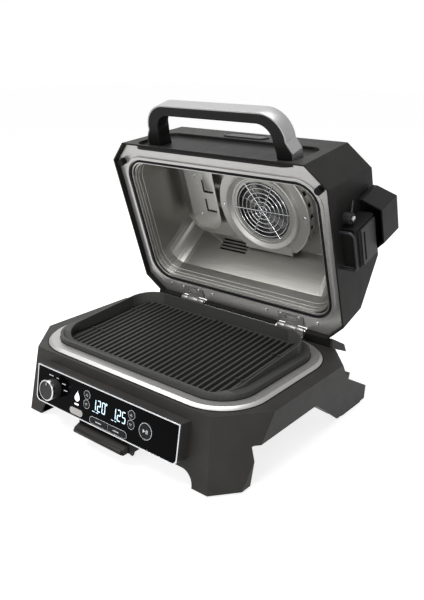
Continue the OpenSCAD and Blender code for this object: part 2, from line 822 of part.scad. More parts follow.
// How much a rib at x is shortened by the rounded corner of the ribbed field
function rib_short(x) = abs(x) > rib_hw - rib_corner
    ? rib_corner - sqrt(max(0, pow(rib_corner, 2) - pow(abs(x) - rib_hw + rib_corner, 2))) : 0;

// Frame of the falling floor, from the front edge of the plate
module on_floor() {
    translate([0, rim_y0 + plate_e, plate_rim_z - plate_depth]) rotate([plate_tilt, 0, 0]) children();
}

// Everything above the falling floor, lowered by t
module above_floor(t) {
    on_floor() translate([-big / 2, -big / 2, -t]) cube(big);
}

module grill_plate() color("#1e1e20") {
    rib_count = floor((rib_hw - rib_w / 2) / rib_pitch);
    difference() {
        union() {
            slab(seat_z, plate_rim_z) rim_shape(plate_e);
            intersection() {
                slab(pot_floor_z, seat_z + eps) rim_shape(body_e);
                above_floor(plate_wall);
            }
        }
        intersection() {
            tapered(plate_e + plate_wall + wall_run, plate_rim_z + eps - wall_drop,
                plate_e + plate_wall, plate_rim_z + eps);
            above_floor(0);
        }
    }
    // Shoulder around the climbing wall
    intersection() {
        slab(seat_z, plate_rim_z) difference() {
            rim_shape(plate_e);
            rim_shape(back_e + back_wall);
        }
        along_x(-big / 2, big / 2) polygon([
            [ramp_y - 2 * ramp_l, seat_z], [ramp_y - ramp_l, plate_rim_z],
            [rim_y1, plate_rim_z], [rim_y1, seat_z]
        ]);
    }
    // Wall that climbs from the front corners to the rear
    intersection() {
        slab(seat_z, plate_rim_z + back_h) difference() {
            rim_shape(back_e);
            rim_shape(back_e + back_wall);
        }
        along_x(-big / 2, big / 2) polygon([
            [ramp_y - ramp_l, seat_z], [ramp_y - ramp_l, plate_rim_z], [ramp_y, plate_rim_z + ramp_h],
            [rim_y1 - back_e, plate_rim_z + back_h], [rim_y1, plate_rim_z + back_h], [rim_y1, seat_z]
        ]);
    }
    on_floor() {
        for (i = [-rib_count : rib_count]) translate([i * rib_pitch, 0, 0])
            along_y(rib_margin + rib_short(i * rib_pitch), rib_l - rib_short(i * rib_pitch)) polygon([
                [-rib_w / 2, -eps], [rib_w / 2, -eps], [rib_top_w / 2, rib_h], [-rib_top_w / 2, rib_h]
            ]);
        // Border bar behind the ribs, open in the middle
        both_sides() translate([border_gap / 2, rib_l - border_l, -eps])
            cube([rib_hw - rib_corner - border_gap / 2, border_l, rib_h + eps]);
        // Groups of studs near the corners
        for (s = [-1, 1], y = stud_y, k = [0 : stud_ribs - 1])
            translate([s * (rib_count - k) * rib_pitch, y, rib_h - eps])
                cylinder(r = stud_r, h = stud_h + eps);
    }
}

module drip_tray() color("#5b5b5e") {
    y1 = tray_front_y + tray_l;
    slope = 16;
    difference() {
        union() {
            along_x(-tray_w / 2, tray_w / 2) polygon([
                [tray_front_y + tray_lip_r, tray_z], [y1, tray_z], [y1, tray_z + tray_h],
                [tray_front_y + tray_lip_r + slope, tray_z + tray_h], [tray_front_y + tray_lip_r, tray_z + 9]
            ]);
            rod_x(-tray_w / 2 + 2, tray_w / 2 - 2, tray_front_y + tray_lip_r, tray_z + tray_lip_r + 1, tray_lip_r);
        }
        translate([-tray_w / 2 + tray_wall, tray_front_y + tray_lip_r + slope + 2, tray_z + tray_wall])
            cube([tray_w - 2 * tray_wall, tray_l - slope - tray_lip_r - 2 - tray_wall, tray_h]);
    }
}

// Angle rails under the bottom cover that carry the drip tray, lower where they pass the pod
module rail_section(top) {
    x0 = tray_w / 2 + slip;
    foot_z = tray_z - slip;
    polygon([
        [x0, top], [x0, foot_z], [x0 - runner_foot, foot_z], [x0 - runner_foot, foot_z - runner_t],
        [x0 + runner_t, foot_z - runner_t], [x0 + runner_t, top]
    ]);
}

module tray_runners() color("#1d1d1f") {
    hang_y = front_y(cover_z, base_wall) + 3;
    both_sides() {
        along_y(tray_front_y + 17, hang_y + eps) rail_section(tray_z + tray_h);
        along_y(hang_y, tray_front_y + tray_l + 4) rail_section(cover_z);
    }
}

knuckle_l = 15;
plate_th = 2.5;
strip_t = 1.5;
strip_back = hinge_y - 8.6;
strip_top = hinge_z + 0.3;
module hinge_brackets() color("#b9bbbe") {
    // Bent strip from bracket to bracket that closes the slot under the open lid
    strip_hw = hinge_x - hinge_l / 2 + 1;
    along_x(-strip_hw, strip_hw) polygon([
        [rim_y1 + 1, deck_h], [strip_back, deck_h],
        [strip_back, strip_top], [strip_back - strip_t, strip_top],
        [strip_back - strip_t, deck_h + plate_th], [rim_y1 + 1, deck_h + plate_th]
    ]);
    for (x = [-hinge_x, hinge_x]) difference() {
        union() {
            translate([x - hinge_l / 2, rim_y1 + 1, deck_h])
                cube([hinge_l, hinge_y + knuckle_r - rim_y1 - 1, plate_th]);
            for (s = [-1, 1]) {
                x0 = x + s * (hinge_l / 2 - knuckle_l / 2) - knuckle_l / 2;
                rod_x(x0, x0 + knuckle_l, hinge_y, hinge_z, knuckle_r);
                translate([x0, hinge_y - knuckle_r + 1, deck_h + 1])
                    cube([knuckle_l, 2 * knuckle_r - 2, hinge_up - 1]);
            }
        }
        rod_x(x - hinge_l, x + hinge_l, hinge_y, hinge_z, pin_r + run_fit);
    }
}

module hinge_pins() color("#d0d2d5") {
    for (x = [-hinge_x, hinge_x]) {
        rod_x(x - hinge_l / 2 - 1, x + hinge_l / 2 + 1, hinge_y, hinge_z, pin_r);
        rod_x(x + hinge_l / 2 + fit_gap, x + hinge_l / 2 + 2.5, hinge_y, hinge_z, pin_r + 1.5);
    }
}

leaf_l = 20;
leaf_t = 2.5;
notch_v = knuckle_r + 2.5;
module hinge_leaves() color("#c7c9cc") in_lid() {
    barrel_l = hinge_l - 2 * knuckle_l - 2 * slip;
    for (x = [-hinge_x, hinge_x]) difference() {
        union() {
            rod_x(x - barrel_l / 2, x + barrel_l / 2, 0, rim_drop, knuckle_r);
            translate([x - barrel_l / 2, -notch_v - 2, rim_recess - leaf_t - 0.5])
                cube([barrel_l, notch_v + 2, leaf_t + 0.5]);
            translate([x - hinge_l / 2 + 1, -notch_v - leaf_l, rim_recess - leaf_t])
                cube([hinge_l - 2, leaf_l - slip, leaf_t]);
        }
        rod_x(x - hinge_l, x + hinge_l, 0, rim_drop, pin_r + run_fit);
        // Slot pressed into each leaf
        translate([x - 11, -notch_v - leaf_l / 2 - 5, rim_recess - leaf_t - eps])
            cube([22, 6, leaf_t + 2 * eps]);
    }
}

// Lid body between two heights, set inwards by t
module lid_form(t, w0, w1) {
    kink_w = lid_lip_h + t * (1 - 1 / cos(lid_rear_slope)) / tan(lid_rear_slope);
    difference() {
        intersection() {
            along_x(-big / 2, big / 2) polygon([
                [-lid_front(w0, t), w0], [-lid_front(w1, t), w1], [-lid_rear(w1, t), w1],
                [-lid_rear_set - t, kink_w], [-lid_rear_set - t, w0]
            ]);
            along_y(-big, big) polygon([
                [-lid_x(w0, t), w0], [lid_x(w0, t), w0], [lid_x(w1, t), w1], [-lid_x(w1, t), w1]
            ]);
        }
        both_sides() {
            corner_cut([lid_hw - lid_cut, -lid_v1, 0], -45, lid_front_lean, t);
            corner_cut([lid_hw - lid_cut, -lid_rear_set, 0], 45, 0, t);
        }
    }
}

// Shallow round-ended pocket in the lid's front face, grown by g
handle_w0 = 27;
pocket_hw = handle_foot + 12;
pocket_y0 = 4;
pocket_behind = 44;
pocket_y1 = handle_w0 + handle_deep + pocket_behind;
module pocket_shape(g) {
    rounded_rect(-pocket_hw - g, pocket_hw + g, pocket_y0 - g, pocket_y1 + g, 22 + g);
}

cap_lug_w = 6;
cap_lug_gap = slip + cap_knuckle_l / 2;
module lid_shell() color("#3a3a3d") in_lid() {
    difference() {
        union() {
            lid_form(0, 0, lid_h);
            // Lugs that carry the smoke box cap
            for (s = [-1, 1]) {
                v = cap_mid_v + s * (cap_lug_gap + cap_lug_w / 2);
                rod_y(cap_axis_x, -v - cap_lug_w / 2, -v + cap_lug_w / 2, cap_axis_w, cap_knuckle_r);
                translate([lid_x(lid_h) - lid_wall, -v - cap_lug_w / 2, cap_axis_w - cap_knuckle_r])
                    cube([cap_axis_x - lid_x(lid_h) + lid_wall, cap_lug_w, 2 * cap_knuckle_r]);
            }
        }
        difference() {
            lid_form(lid_wall, -eps, lid_h - lid_wall);
            on_lid_front() slab(-pocket_depth - lid_wall, eps) pocket_shape(lid_wall);
        }
        on_lid_front() slab(-pocket_depth, big / 4) pocket_shape(0);
        for (x = [-hinge_x, hinge_x])
            translate([x - hinge_l / 2 - 3, -notch_v - 1, -eps])
                cube([hinge_l + 6, notch_v + 20, rim_drop + knuckle_r + 4]);
        translate([sleeve_x, -smoke_v1 + smoke_wall - 2 - fit_gap, smoke_w0 + smoke_wall - 2 - fit_gap])
            cube([
                big, smoke_l - 2 * smoke_wall + 4 + 2 * fit_gap, smoke_h - 2 * smoke_wall + 4 + 2 * fit_gap
            ]);
        rod_y(cap_axis_x, -big / 2, big / 2, cap_axis_w, cap_pin_r + run_fit);
    }
}

rim_plate_t = 1.5;
step_out = 13;
step_w = 5;
step_h = 3;
module lid_rim_plate() color("#b7b8ba") in_lid() {
    difference() {
        intersection() {
            lid_form(lid_wall + fit_gap, -eps, lid_h / 2);
            translate([-big / 2, -big / 2, rim_recess]) cube([big, big, rim_plate_t]);
        }
        slab(0, lid_h) lid_rim_shape(liner_e);
        on_lid_front() slab(-pocket_depth - lid_wall - fit_gap, big / 4) pocket_shape(lid_wall + fit_gap);
        for (x = [-hinge_x, hinge_x])
            translate([x - hinge_l / 2 - 3, -notch_v, 0]) cube([hinge_l + 6, notch_v + 20, lid_h]);
    }
    // Raised step pressed around the opening
    slab(rim_recess - step_h, rim_recess + eps) difference() {
        lid_rim_shape(liner_e - step_out);
        lid_rim_shape(liner_e - step_out + step_w);
    }
}

// Rounded outline of the cooking chamber at one height
ring_t = 0.02;
chamber_side = [0, 4, 12];
chamber_rear = [0, 10, 46];
chamber_w = [rim_recess + rim_plate_t, 45, liner_h];
module chamber_ring(k, g) {
    e = liner_e + chamber_side[k] - g;
    translate([0, -hinge_y, chamber_w[k] + (k == 2 ? g - ring_t : 0)]) linear_extrude(ring_t)
        rounded_rect(-rim_hw + e, rim_hw - e, rim_y0 + e,
            rim_y1 - liner_e - chamber_rear[k] + g, max(opening_r - liner_e, inner_r_min) + 8, $fn = 32);
}

module chamber(g) {
    for (k = [0, 1]) hull() {
        chamber_ring(k, g);
        chamber_ring(k + 1, g);
    }
}

chamber_slope = atan2(chamber_rear[2] - chamber_rear[1], chamber_w[2] - chamber_w[1]);
grille_x = -94;
grille_l = 62;
grille_slots = 4;
grille_pitch = 7;
grille_slot = 4;
grille_cut = 12;
// Deep-drawn chamber with a sloped rear wall and a turned flange
module lid_liner() color("#bfc0c2") in_lid() {
    difference() {
        union() {
            chamber(liner_t);
            slab(chamber_w[0], chamber_w[0] + liner_t) lid_rim_shape(liner_e - 12);
        }
        chamber(0);
        slab(chamber_w[0] - eps, chamber_w[0] + liner_t + eps) lid_rim_shape(liner_e);
        translate([fan_x, -fan_v, liner_h - eps]) cylinder(r = fan_shaft_r + 3, h = 4);
        // Exhaust slots in the sloped rear wall
        translate([grille_x, rim_y1 - liner_e - chamber_rear[2] - hinge_y, liner_h])
            rotate([chamber_slope, 0, 0])
                for (i = [1 : grille_slots]) translate([0, -grille_cut / 2, -i * grille_pitch - grille_slot])
                    cube([grille_l, grille_cut, grille_slot]);
    }
}

gasket_w = 3.5;
gasket_e = plate_e + 0.3;
module lid_gasket() color("#111112") in_lid() {
    slab(plate_rise + slip - lid_gap, rim_recess) difference() {
        lid_rim_shape(gasket_e);
        lid_rim_shape(gasket_e + gasket_w);
    }
}

bumper_r = 6;
bumper_e = 4;
bumper_a = 37;
module lid_bumpers() color("#151516") in_lid() {
    both_sides() translate([
        rim_hw - opening_r + (opening_r - bumper_e) * cos(bumper_a),
        -hinge_y + rim_y0 + opening_r - (opening_r - bumper_e) * sin(bumper_a), -lid_gap + slip
    ]) cylinder(r = bumper_r, h = rim_recess + lid_gap - slip);
}

// Filled outline under the handle's outer edge, set inwards by t
handle_top = lid_v1 + handle_reach;
module handle_arch(t) {
    base_v = lid_v1 - 30;
    bend_v = handle_top - handle_r;
    translate([-handle_bar, -handle_top + t]) square([2 * handle_bar, handle_top - t - base_v]);
    for (s = [0, 1]) mirror([s, 0]) {
        translate([handle_bar, -bend_v]) circle(handle_r - t);
        polygon([
            [handle_bar - 1, -bend_v], [handle_bar + handle_r - t, -bend_v],
            [handle_foot - t, -lid_v1], [handle_foot - t, -base_v], [handle_bar - 1, -base_v]
        ]);
    }
}

// Finger gap under the handle, with feet that flare inwards
handle_foot_w = 30;
leg_extra = 6;
module handle_gap() {
    base_v = lid_v1 - 40;
    bend_v = handle_top - handle_r;
    r = handle_r - handle_t;
    bar = handle_bar - leg_extra;
    translate([-bar, -bend_v - r]) square([2 * bar, bend_v + r - base_v]);
    for (s = [0, 1]) mirror([s, 0]) {
        translate([bar, -bend_v]) circle(r);
        polygon([
            [bar - 1, -bend_v], [bar + r, -bend_v],
            [handle_foot - handle_foot_w, -lid_v1], [handle_foot - handle_foot_w, -base_v],
            [bar - 1, -base_v]
        ]);
    }
}

// Everything behind the floor of the handle pocket
module behind_pocket() {
    on_lid_front() translate([-big / 2, -big / 2, -big - pocket_depth]) cube(big);
}

module handle_core() color("#1f1f21") in_lid() {
    difference() {
        slab(handle_w0, handle_w0 + handle_deep) difference() {
            handle_arch(strap_t);
            handle_gap();
        }
        behind_pocket();
    }
}

module handle_strap() color("#c2c3c5") in_lid() {
    difference() {
        slab(handle_w0 + 1, handle_w0 + handle_deep - 1) difference() {
            handle_arch(0);
            handle_arch(strap_t);
        }
        behind_pocket();
    }
}

module at_fan() {
    translate([fan_x, -fan_v, 0]) children();
}

fan_flat = 77;
fan_tab_l = 104;
fan_tab_w = 19;
fan_sheet = 1.5;
fan_slots = 28;
// Round drum with a beaded front, air slots around its wall and a flat tab below
module fan_cover() color("#c6c7c9") in_lid() at_fan() {
    difference() {
        rotate_extrude($fn = 96) polygon([
            [fan_hole_r, fan_w], [fan_hole_r + 5, fan_w],
            [fan_hole_r + 6, fan_w - 2], [fan_hole_r + 10, fan_w - 2],
            [fan_hole_r + 11, fan_w], [fan_cover_r - 1.5, fan_w], [fan_cover_r, fan_w + 1.5],
            [fan_cover_r, liner_h], [fan_cover_r - fan_sheet, liner_h],
            [fan_cover_r - fan_sheet, fan_w + fan_sheet],
            [fan_hole_r, fan_w + fan_sheet]
        ]);
        for (i = [0 : fan_slots - 1]) rotate([0, 0, i * 360 / fan_slots])
            translate([fan_cover_r - 5, -4, fan_w + 5]) cube([10, 8, fan_cover_h - 9]);
        translate([-big / 2, fan_flat, -eps]) cube([big, big, lid_h]);
    }
    translate([-fan_tab_l / 2, fan_flat - fan_tab_w + 7, fan_w - fan_sheet])
        cube([fan_tab_l, fan_tab_w, fan_sheet + 0.3]);
}

guard_r = 1.1;
guard_rings = 6;
module fan_guard() color("#d8d9db") in_lid() at_fan() {
    ring_z = fan_w + 0.3;
    for (i = [1 : guard_rings]) rotate_extrude() translate([i * (fan_hole_r - 4) / guard_rings, ring_z])
        circle(guard_r);
    for (a = [0, 60, 120]) rotate([0, 0, a])
        rod_x(-fan_hole_r - 3, fan_hole_r + 3, 0, fan_w - guard_r, guard_r);
}

fan_shaft_r = 3;
motor_r = 28;
motor_h = lid_h - lid_wall - liner_h - liner_t - 3;
module fan_motor() color("#77787b") in_lid() at_fan() {
    translate([0, 0, liner_h + liner_t]) difference() {
        cylinder(r = motor_r, h = motor_h);
        translate([0, 0, -eps]) cylinder(r = fan_shaft_r + run_fit, h = motor_h - 4);
    }
}

blade_r = fan_hole_r - 9;
module fan_rotor() color("#a8aaad") in_lid() at_fan() {
    hub_z = fan_w + 3;
    hub_h = fan_cover_h - 6;
    translate([0, 0, hub_z]) cylinder(r = 13, h = hub_h);
    translate([0, 0, hub_z + 1]) cylinder(r = fan_shaft_r, h = liner_h + liner_t + motor_h - 6 - hub_z);
    for (i = [0 : blades - 1]) rotate([0, 0, i * 360 / blades])
        translate([11, 0, hub_z + hub_h / 2]) rotate([35, 0, 0])
            translate([0, -0.7, -hub_h / 2 + 0.5]) cube([blade_r - 11, 1.4, hub_h - 1]);
}

upper_r = (blade_r + fan_cover_r) / 2 + 4;
upper_tube = 3.3;
module upper_element() color("#55565a") in_lid() at_fan() {
    loop_w = fan_w + fan_cover_h / 2 + 0.5;
    rotate([0, 0, 115]) rotate_extrude(angle = 310) translate([upper_r, loop_w]) circle(upper_tube);
    for (a = [115, 270, 65]) rotate([0, 0, a]) translate([upper_r, 0, loop_w])
        cylinder(r = upper_tube * 0.8, h = liner_h - loop_w);
}

// Slotted shield beside the fan
shield_gap = 27;
shield_x = [-rim_hw + liner_e + chamber_side[2] + shield_gap, fan_x - fan_cover_r - 10];
shield_v = [108, 250];
module air_deflector() color("#a6a7a9") in_lid() {
    shield_r = 26;
    difference() {
        slab(fan_w + 3, fan_w + 4.5)
            rounded_rect(shield_x[0], shield_x[1], -shield_v[1], -shield_v[0], shield_r);
        for (v = [150, 190]) {
            translate([shield_x[1] - 30, -v, fan_w]) cube([24, 4, 8]);
            translate([shield_x[1] - 30, -v - 22, fan_w]) cube([4, 26, 8]);
        }
    }
    for (v = [shield_v[0] + 30, shield_v[1] - 30])
        translate([(shield_x[0] + shield_x[1]) / 2 - 10, -v, fan_w + 4])
            cylinder(r = 3.5, h = liner_h - fan_w - 4);
}

// Smoke box body on the lid's right side, with a sleeve that reaches through the wall
module smoker_housing() color("#1f1f21") in_lid() {
    difference() {
        union() {
            along_y(-smoke_v1, -smoke_v0) polygon([
                [lid_x(smoke_w0), smoke_w0], [smoke_x - 5, smoke_w0], [smoke_x, smoke_w0 + 7],
                [smoke_x, smoke_w1 - 5], [smoke_x - 5, smoke_w1], [lid_x(smoke_w1), smoke_w1]
            ]);
            translate([sleeve_x, -smoke_v1 + smoke_wall - 2, smoke_w0 + smoke_wall - 2])
                cube([sleeve_in + 4, smoke_l - 2 * smoke_wall + 4, smoke_h - 2 * smoke_wall + 4]);
        }
        translate([sleeve_x + 2, -smoke_v1 + smoke_wall, smoke_w0 + smoke_wall])
            cube([big, smoke_l - 2 * smoke_wall, smoke_h - 2 * smoke_wall]);
        // Filling hole under the cap
        translate([smoke_x - 26, -smoke_v1 + 12, smoke_w1 - smoke_wall - eps])
            cube([18, smoke_l - 24, smoke_wall + 2 * eps]);
        // Smoke slots in the inner end
        for (k = [-1, 0, 1])
            translate([sleeve_x - eps, -(smoke_v0 + smoke_v1) / 2 + k * 14 - 3, smoke_w0 + 14])
                cube([4, 6, smoke_h - 28]);
    }
}

// Pellet drawer that slides out of the smoke box
drawer_wall = 1.6;
drawer_front_t = 3;
module pellet_drawer() color("#2a2a2c") in_lid() {
    x0 = sleeve_x + 2 + slip;
    g = smoke_wall + slip;
    difference() {
        union() {
            translate([x0, -smoke_v1 + g, smoke_w0 + g])
                cube([smoke_x + slip - x0 + eps, smoke_l - 2 * g, smoke_h - 2 * g]);
            translate([smoke_x + slip, -smoke_v1 + 3, smoke_w0 + 8])
                cube([drawer_front_t, smoke_l - 6, smoke_h - 15]);
        }
        translate([x0 + drawer_wall, -smoke_v1 + g + drawer_wall, smoke_w0 + g + drawer_wall])
            cube([smoke_x - x0 - 2 * drawer_wall, smoke_l - 2 * g - 2 * drawer_wall, smoke_h]);
        // Finger slot in the front
        translate([smoke_x + slip + 1, -smoke_v1 + 10, smoke_w0 + 13]) cube([drawer_front_t, smoke_l - 20, 5]);
    }
}

// Plan of the cap, wider at the wall than outside, set inwards by t
module cap_shape(t) {
    x0 = lid_x(cap_w0) + 1;
    cap_x = smoke_x + 12;
    polygon([
        [x0 + t, -smoke_v1 - 19 + t], [x0 + 8, -smoke_v1 - 19 + t], [cap_x - t, -smoke_v1 - 6 + t * 0.7],
        [cap_x - t, -smoke_v0 - 16 - t * 0.5], [x0 + 12 - t * 0.5, -smoke_v0 + 12 - t],
        [x0 + t, -smoke_v0 + 12 - t]
    ]);
}

// Hollow hinged cap above the smoke box
cap_wall = 3;
module smoker_cap() color("#252527") in_lid() {
    difference() {
        union() {
            slab(cap_w0, cap_w1) cap_shape(0);
            translate([cap_axis_x - 1.5, -cap_mid_v - cap_knuckle_l / 2, cap_w1 - eps])
                cube([5.5, cap_knuckle_l, cap_axis_w - cap_w1 + eps]);
            rod_y(cap_axis_x, -cap_mid_v - cap_knuckle_l / 2, -cap_mid_v + cap_knuckle_l / 2,
                cap_axis_w, cap_knuckle_r);
        }
        slab(cap_w0 - eps, cap_w1 - cap_wall) cap_shape(cap_wall);
        rod_y(cap_axis_x, -big / 2, big / 2, cap_axis_w, cap_pin_r + run_fit);
    }
}

module cap_pin() color("#9a9b9e") in_lid() {
    half = cap_knuckle_l / 2 + slip + cap_lug_w;
    rod_y(cap_axis_x, -cap_mid_v - half, -cap_mid_v + half, cap_axis_w, cap_pin_r);
}

// Wire bail below the smoke box
bail_r = 2.6;
bail_bend = 8;
module smoker_bail() color("#4b4b4e") in_lid() {
    w = smoke_w0 - bail_r - 3;
    x_wall = lid_x(w - bail_r);
    x_bar = smoke_x - 2;
    v0 = smoke_v0;
    v1 = smoke_v1 - 4;
    rod_y(x_bar, -v1 + bail_bend - lap, -v0 - bail_bend + lap, w, bail_r);
    for (v = [v0, v1]) rod_x(x_wall, x_bar - bail_bend + lap, -v, w, bail_r);
    bend(x_bar - bail_bend, -v1 + bail_bend, w, bail_bend, bail_r, -90);
    bend(x_bar - bail_bend, -v0 - bail_bend, w, bail_bend, bail_r, 0);
}

// Damper lever in front of the smoke box, turning on a pivot in the lid's side
latch_r = 9;
latch_v = smoke_v1 + latch_r + 3;
latch_w = smoke_w0 + 12;
latch_pin_r = 2.5;
latch_pin_l = 16;
latch_head_t = 2;
latch_boss_l = 13;
latch_arm_r = 1.6;
latch_arm_l = 18;
latch_arm_turn = 68;
module latch_pivot() color("#8f9093") in_lid() {
    x0 = lid_x(latch_w - latch_pin_r - 2);
    translate([x0, -latch_v, latch_w]) rotate([0, 90, 0]) {
        cylinder(r = latch_pin_r, h = latch_pin_l);
        translate([0, 0, latch_pin_l - 1]) cylinder(r = latch_pin_r + latch_head_t, h = latch_head_t);
    }
}

module smoker_latch() color("#38383b") in_lid() {
    x0 = lid_x(latch_w, -1);
    translate([x0, -latch_v, latch_w]) rotate([0, 90, 0]) difference() {
        union() {
            cylinder(r = latch_r, h = latch_boss_l);
            translate([0, 0, latch_boss_l - 2]) rotate([0, -90, 0]) rotate([latch_arm_turn, 0, 0])
                cylinder(r = latch_arm_r, h = latch_r + latch_arm_l);
        }
        translate([0, 0, -eps]) cylinder(r = latch_pin_r + run_fit, h = latch_pin_l);
    }
}

base_housing();
bottom_cover();
front_feet();
rear_feet();
rear_spacers();
cord_inlet();
control_pod();
panel_bezel();
panel_glass();
control_board();
display_module();
knob_encoder();
knob_body();
knob_ring();
start_button();
temp_up_button();
temp_down_button();
time_up_button();
time_down_button();
smoke_button();
preset_button();
manual_button();
cooking_pot();
lower_element();
drain_spout();
grill_plate();
drip_tray();
tray_runners();
hinge_brackets();
hinge_pins();
hinge_leaves();
lid_shell();
lid_rim_plate();
lid_liner();
lid_gasket();
lid_bumpers();
handle_core();
handle_strap();
fan_cover();
fan_guard();
fan_motor();
fan_rotor();
upper_element();
air_deflector();
smoker_housing();
pellet_drawer();
smoker_cap();
cap_pin();
smoker_bail();
smoker_latch();
latch_pivot();
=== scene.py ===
"""Looks of a countertop electric grill and smoker that stands open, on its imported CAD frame."""

import json
import math

import bmesh
import bpy
from mathutils import Matrix, Vector


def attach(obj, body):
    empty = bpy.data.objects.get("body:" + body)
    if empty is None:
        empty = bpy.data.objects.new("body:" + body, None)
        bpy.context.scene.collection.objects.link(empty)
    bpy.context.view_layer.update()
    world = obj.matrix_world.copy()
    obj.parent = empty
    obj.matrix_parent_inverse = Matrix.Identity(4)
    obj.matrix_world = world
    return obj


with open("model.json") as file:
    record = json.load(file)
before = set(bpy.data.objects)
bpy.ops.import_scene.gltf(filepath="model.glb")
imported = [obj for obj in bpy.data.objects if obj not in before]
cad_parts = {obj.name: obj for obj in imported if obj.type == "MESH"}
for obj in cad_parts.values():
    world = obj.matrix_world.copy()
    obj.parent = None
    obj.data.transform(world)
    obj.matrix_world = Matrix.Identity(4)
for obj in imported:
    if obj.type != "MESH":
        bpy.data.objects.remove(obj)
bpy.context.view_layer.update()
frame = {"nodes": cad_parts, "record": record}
nodes = frame["nodes"]
scene = bpy.context.scene

# Places of the model in millimetres and degrees
MM = 0.001
DECK = 116.0
REAR_WALL = 128.954
RIM_SIDE, RIM_FRONT, RIM_REAR, RIM_CORNER = 222.0, -173.0, 119.9, 80.0
# Panel, with the heights of its glass, its keys and the middle of its knob's face over its own plane
PANEL_LEAN = 10.0
PANEL_ORIGIN = (0.0, -187.78, 69.3)
GLASS, KEY_TOP = 23.0, 23.75
KNOB = (-111.0, 1.5, 42.1)
# Lid, with the depths of the faces inside it and the middle of its fan
HINGE = (0.0, 135.754, 128.3)
HINGE_SIDE = 113.5
LID_OPEN = 72.6
LID_FRONT_LEAN = 79.0
LID_LENGTH = 323.1
RIM_DROP = 6.3
LID_RIM, LEAF, FAN_FACE, SHIELD_FACE = 10.0, 7.5, 98.0, 101.0
FAN = (20.0, 170.0)


def turned_about_x(degrees):
    return Matrix.Rotation(math.radians(degrees), 4, "X")


# Frames in which the pieces are drawn
BASE = Matrix.Scale(MM, 4)
PANEL = BASE @ Matrix.Translation(PANEL_ORIGIN) @ turned_about_x(90 - PANEL_LEAN)
AT_HINGE = BASE @ Matrix.Translation(HINGE) @ turned_about_x(-LID_OPEN)
LID = AT_HINGE @ Matrix.Translation((0, 0, -RIM_DROP))
LID_FRONT = LID @ Matrix.Translation((0, -LID_LENGTH, 0)) @ turned_about_x(LID_FRONT_LEAN)
# Ways that screw heads and turned pieces face
UP, DOWN, REARWARD = turned_about_x(0), turned_about_x(180), turned_about_x(-90)


# Materials

# Widths of the surface patterns in millimetres
CLOUD, HANDLING, HAZE, WEAR, SMEAR, GLOW = 45, 18, 9, 12, 30, 6
# Depths of the surface patterns in millimetres
GRAIN_DEPTH, BRUSH_DEPTH, PEEL_DEPTH = 0.02, 0.012, 0.02
# Scale along x, y and z that draws out brush lines and wiping smears from side to side
BRUSH_DRAW, WIPE_DRAW = (0.02, 1.0, 1.0), (0.3, 1.0, 1.0)
# How far roughness falls below and rises above its middle value
MOULDED_SPREAD = (0.05, 0.07)
BRUSHED_SPREAD = (0.06, 0.1)
PLATED_SPREAD = (0.04, 0.06)
COATED_SPREAD = (0.06, 0.08)
POLISHED_SPREAD = (0.03, 0.05)


def linear(code):
    """An sRGB hex colour as linear RGBA."""
    values = [int(code[i : i + 2], 16) / 255 for i in (1, 3, 5)]
    return [v / 12.92 if v <= 0.04045 else ((v + 0.055) / 1.055) ** 2.4 for v in values] + [1.0]


def per_mm(size):
    """Pattern scale at which one cell is size millimetres across."""
    return 1.0 / (size * MM)


def add(tree, kind, links=None, **values):
    """A node with its settings; links feed its inputs from nodes or from their outputs."""
    made = tree.nodes.new(kind)
    for key, value in values.items():
        socket = key.replace("_", " ")
        if socket in made.inputs:
            made.inputs[socket].default_value = value
        else:
            setattr(made, key, value)
    for key, source in (links or {}).items():
        feeding = source.outputs[0] if isinstance(source, bpy.types.Node) else source
        tree.links.new(feeding, made.inputs[key])
    return made


def start(name, **values):
    """A material, its shader with constant values set, and the place that its patterns read."""
    mat = bpy.data.materials.new(name)
    mat.use_nodes = True
    tree = mat.node_tree
    shader = tree.nodes["Principled BSDF"]
    for key, value in values.items():
        shader.inputs[key.replace("_", " ")].default_value = value
    return mat, tree, shader, add(tree, "ShaderNodeTexCoord").outputs["Object"]


def feed(tree, shader, **sources):
    for key, source in sources.items():
        tree.links.new(source.outputs[0], shader.inputs[key.replace("_", " ")])


def moulded(name, dark, light, grain_mm, rough, shine):
    """Injection-moulded plastic: eroded grain, drawn coarse enough to show, and handling marks."""
    mat, tree, shader, place = start(name, Specular_IOR_Level=shine)
    fall, rise = MOULDED_SPREAD
    tones = {"Color1": linear(dark), "Color2": linear(light)}
    cloud = add(tree, "ShaderNodeTexNoise", {"Vector": place}, Scale=per_mm(CLOUD), Detail=3.0)
    marks = add(tree, "ShaderNodeTexNoise", {"Vector": place}, Scale=per_mm(HANDLING), Detail=3.0)
    grain = add(tree, "ShaderNodeTexNoise", {"Vector": place}, Scale=per_mm(grain_mm), Detail=2.0)
    feed(
        tree,
        shader,
        Base_Color=add(tree, "ShaderNodeMixRGB", {"Fac": cloud}, **tones),
        Roughness=add(
            tree, "ShaderNodeMapRange", {"Value": marks}, To_Min=rough - fall, To_Max=rough + rise
        ),
        Normal=add(tree, "ShaderNodeBump", {"Height": grain}, Distance=GRAIN_DEPTH * MM),
    )
    return mat


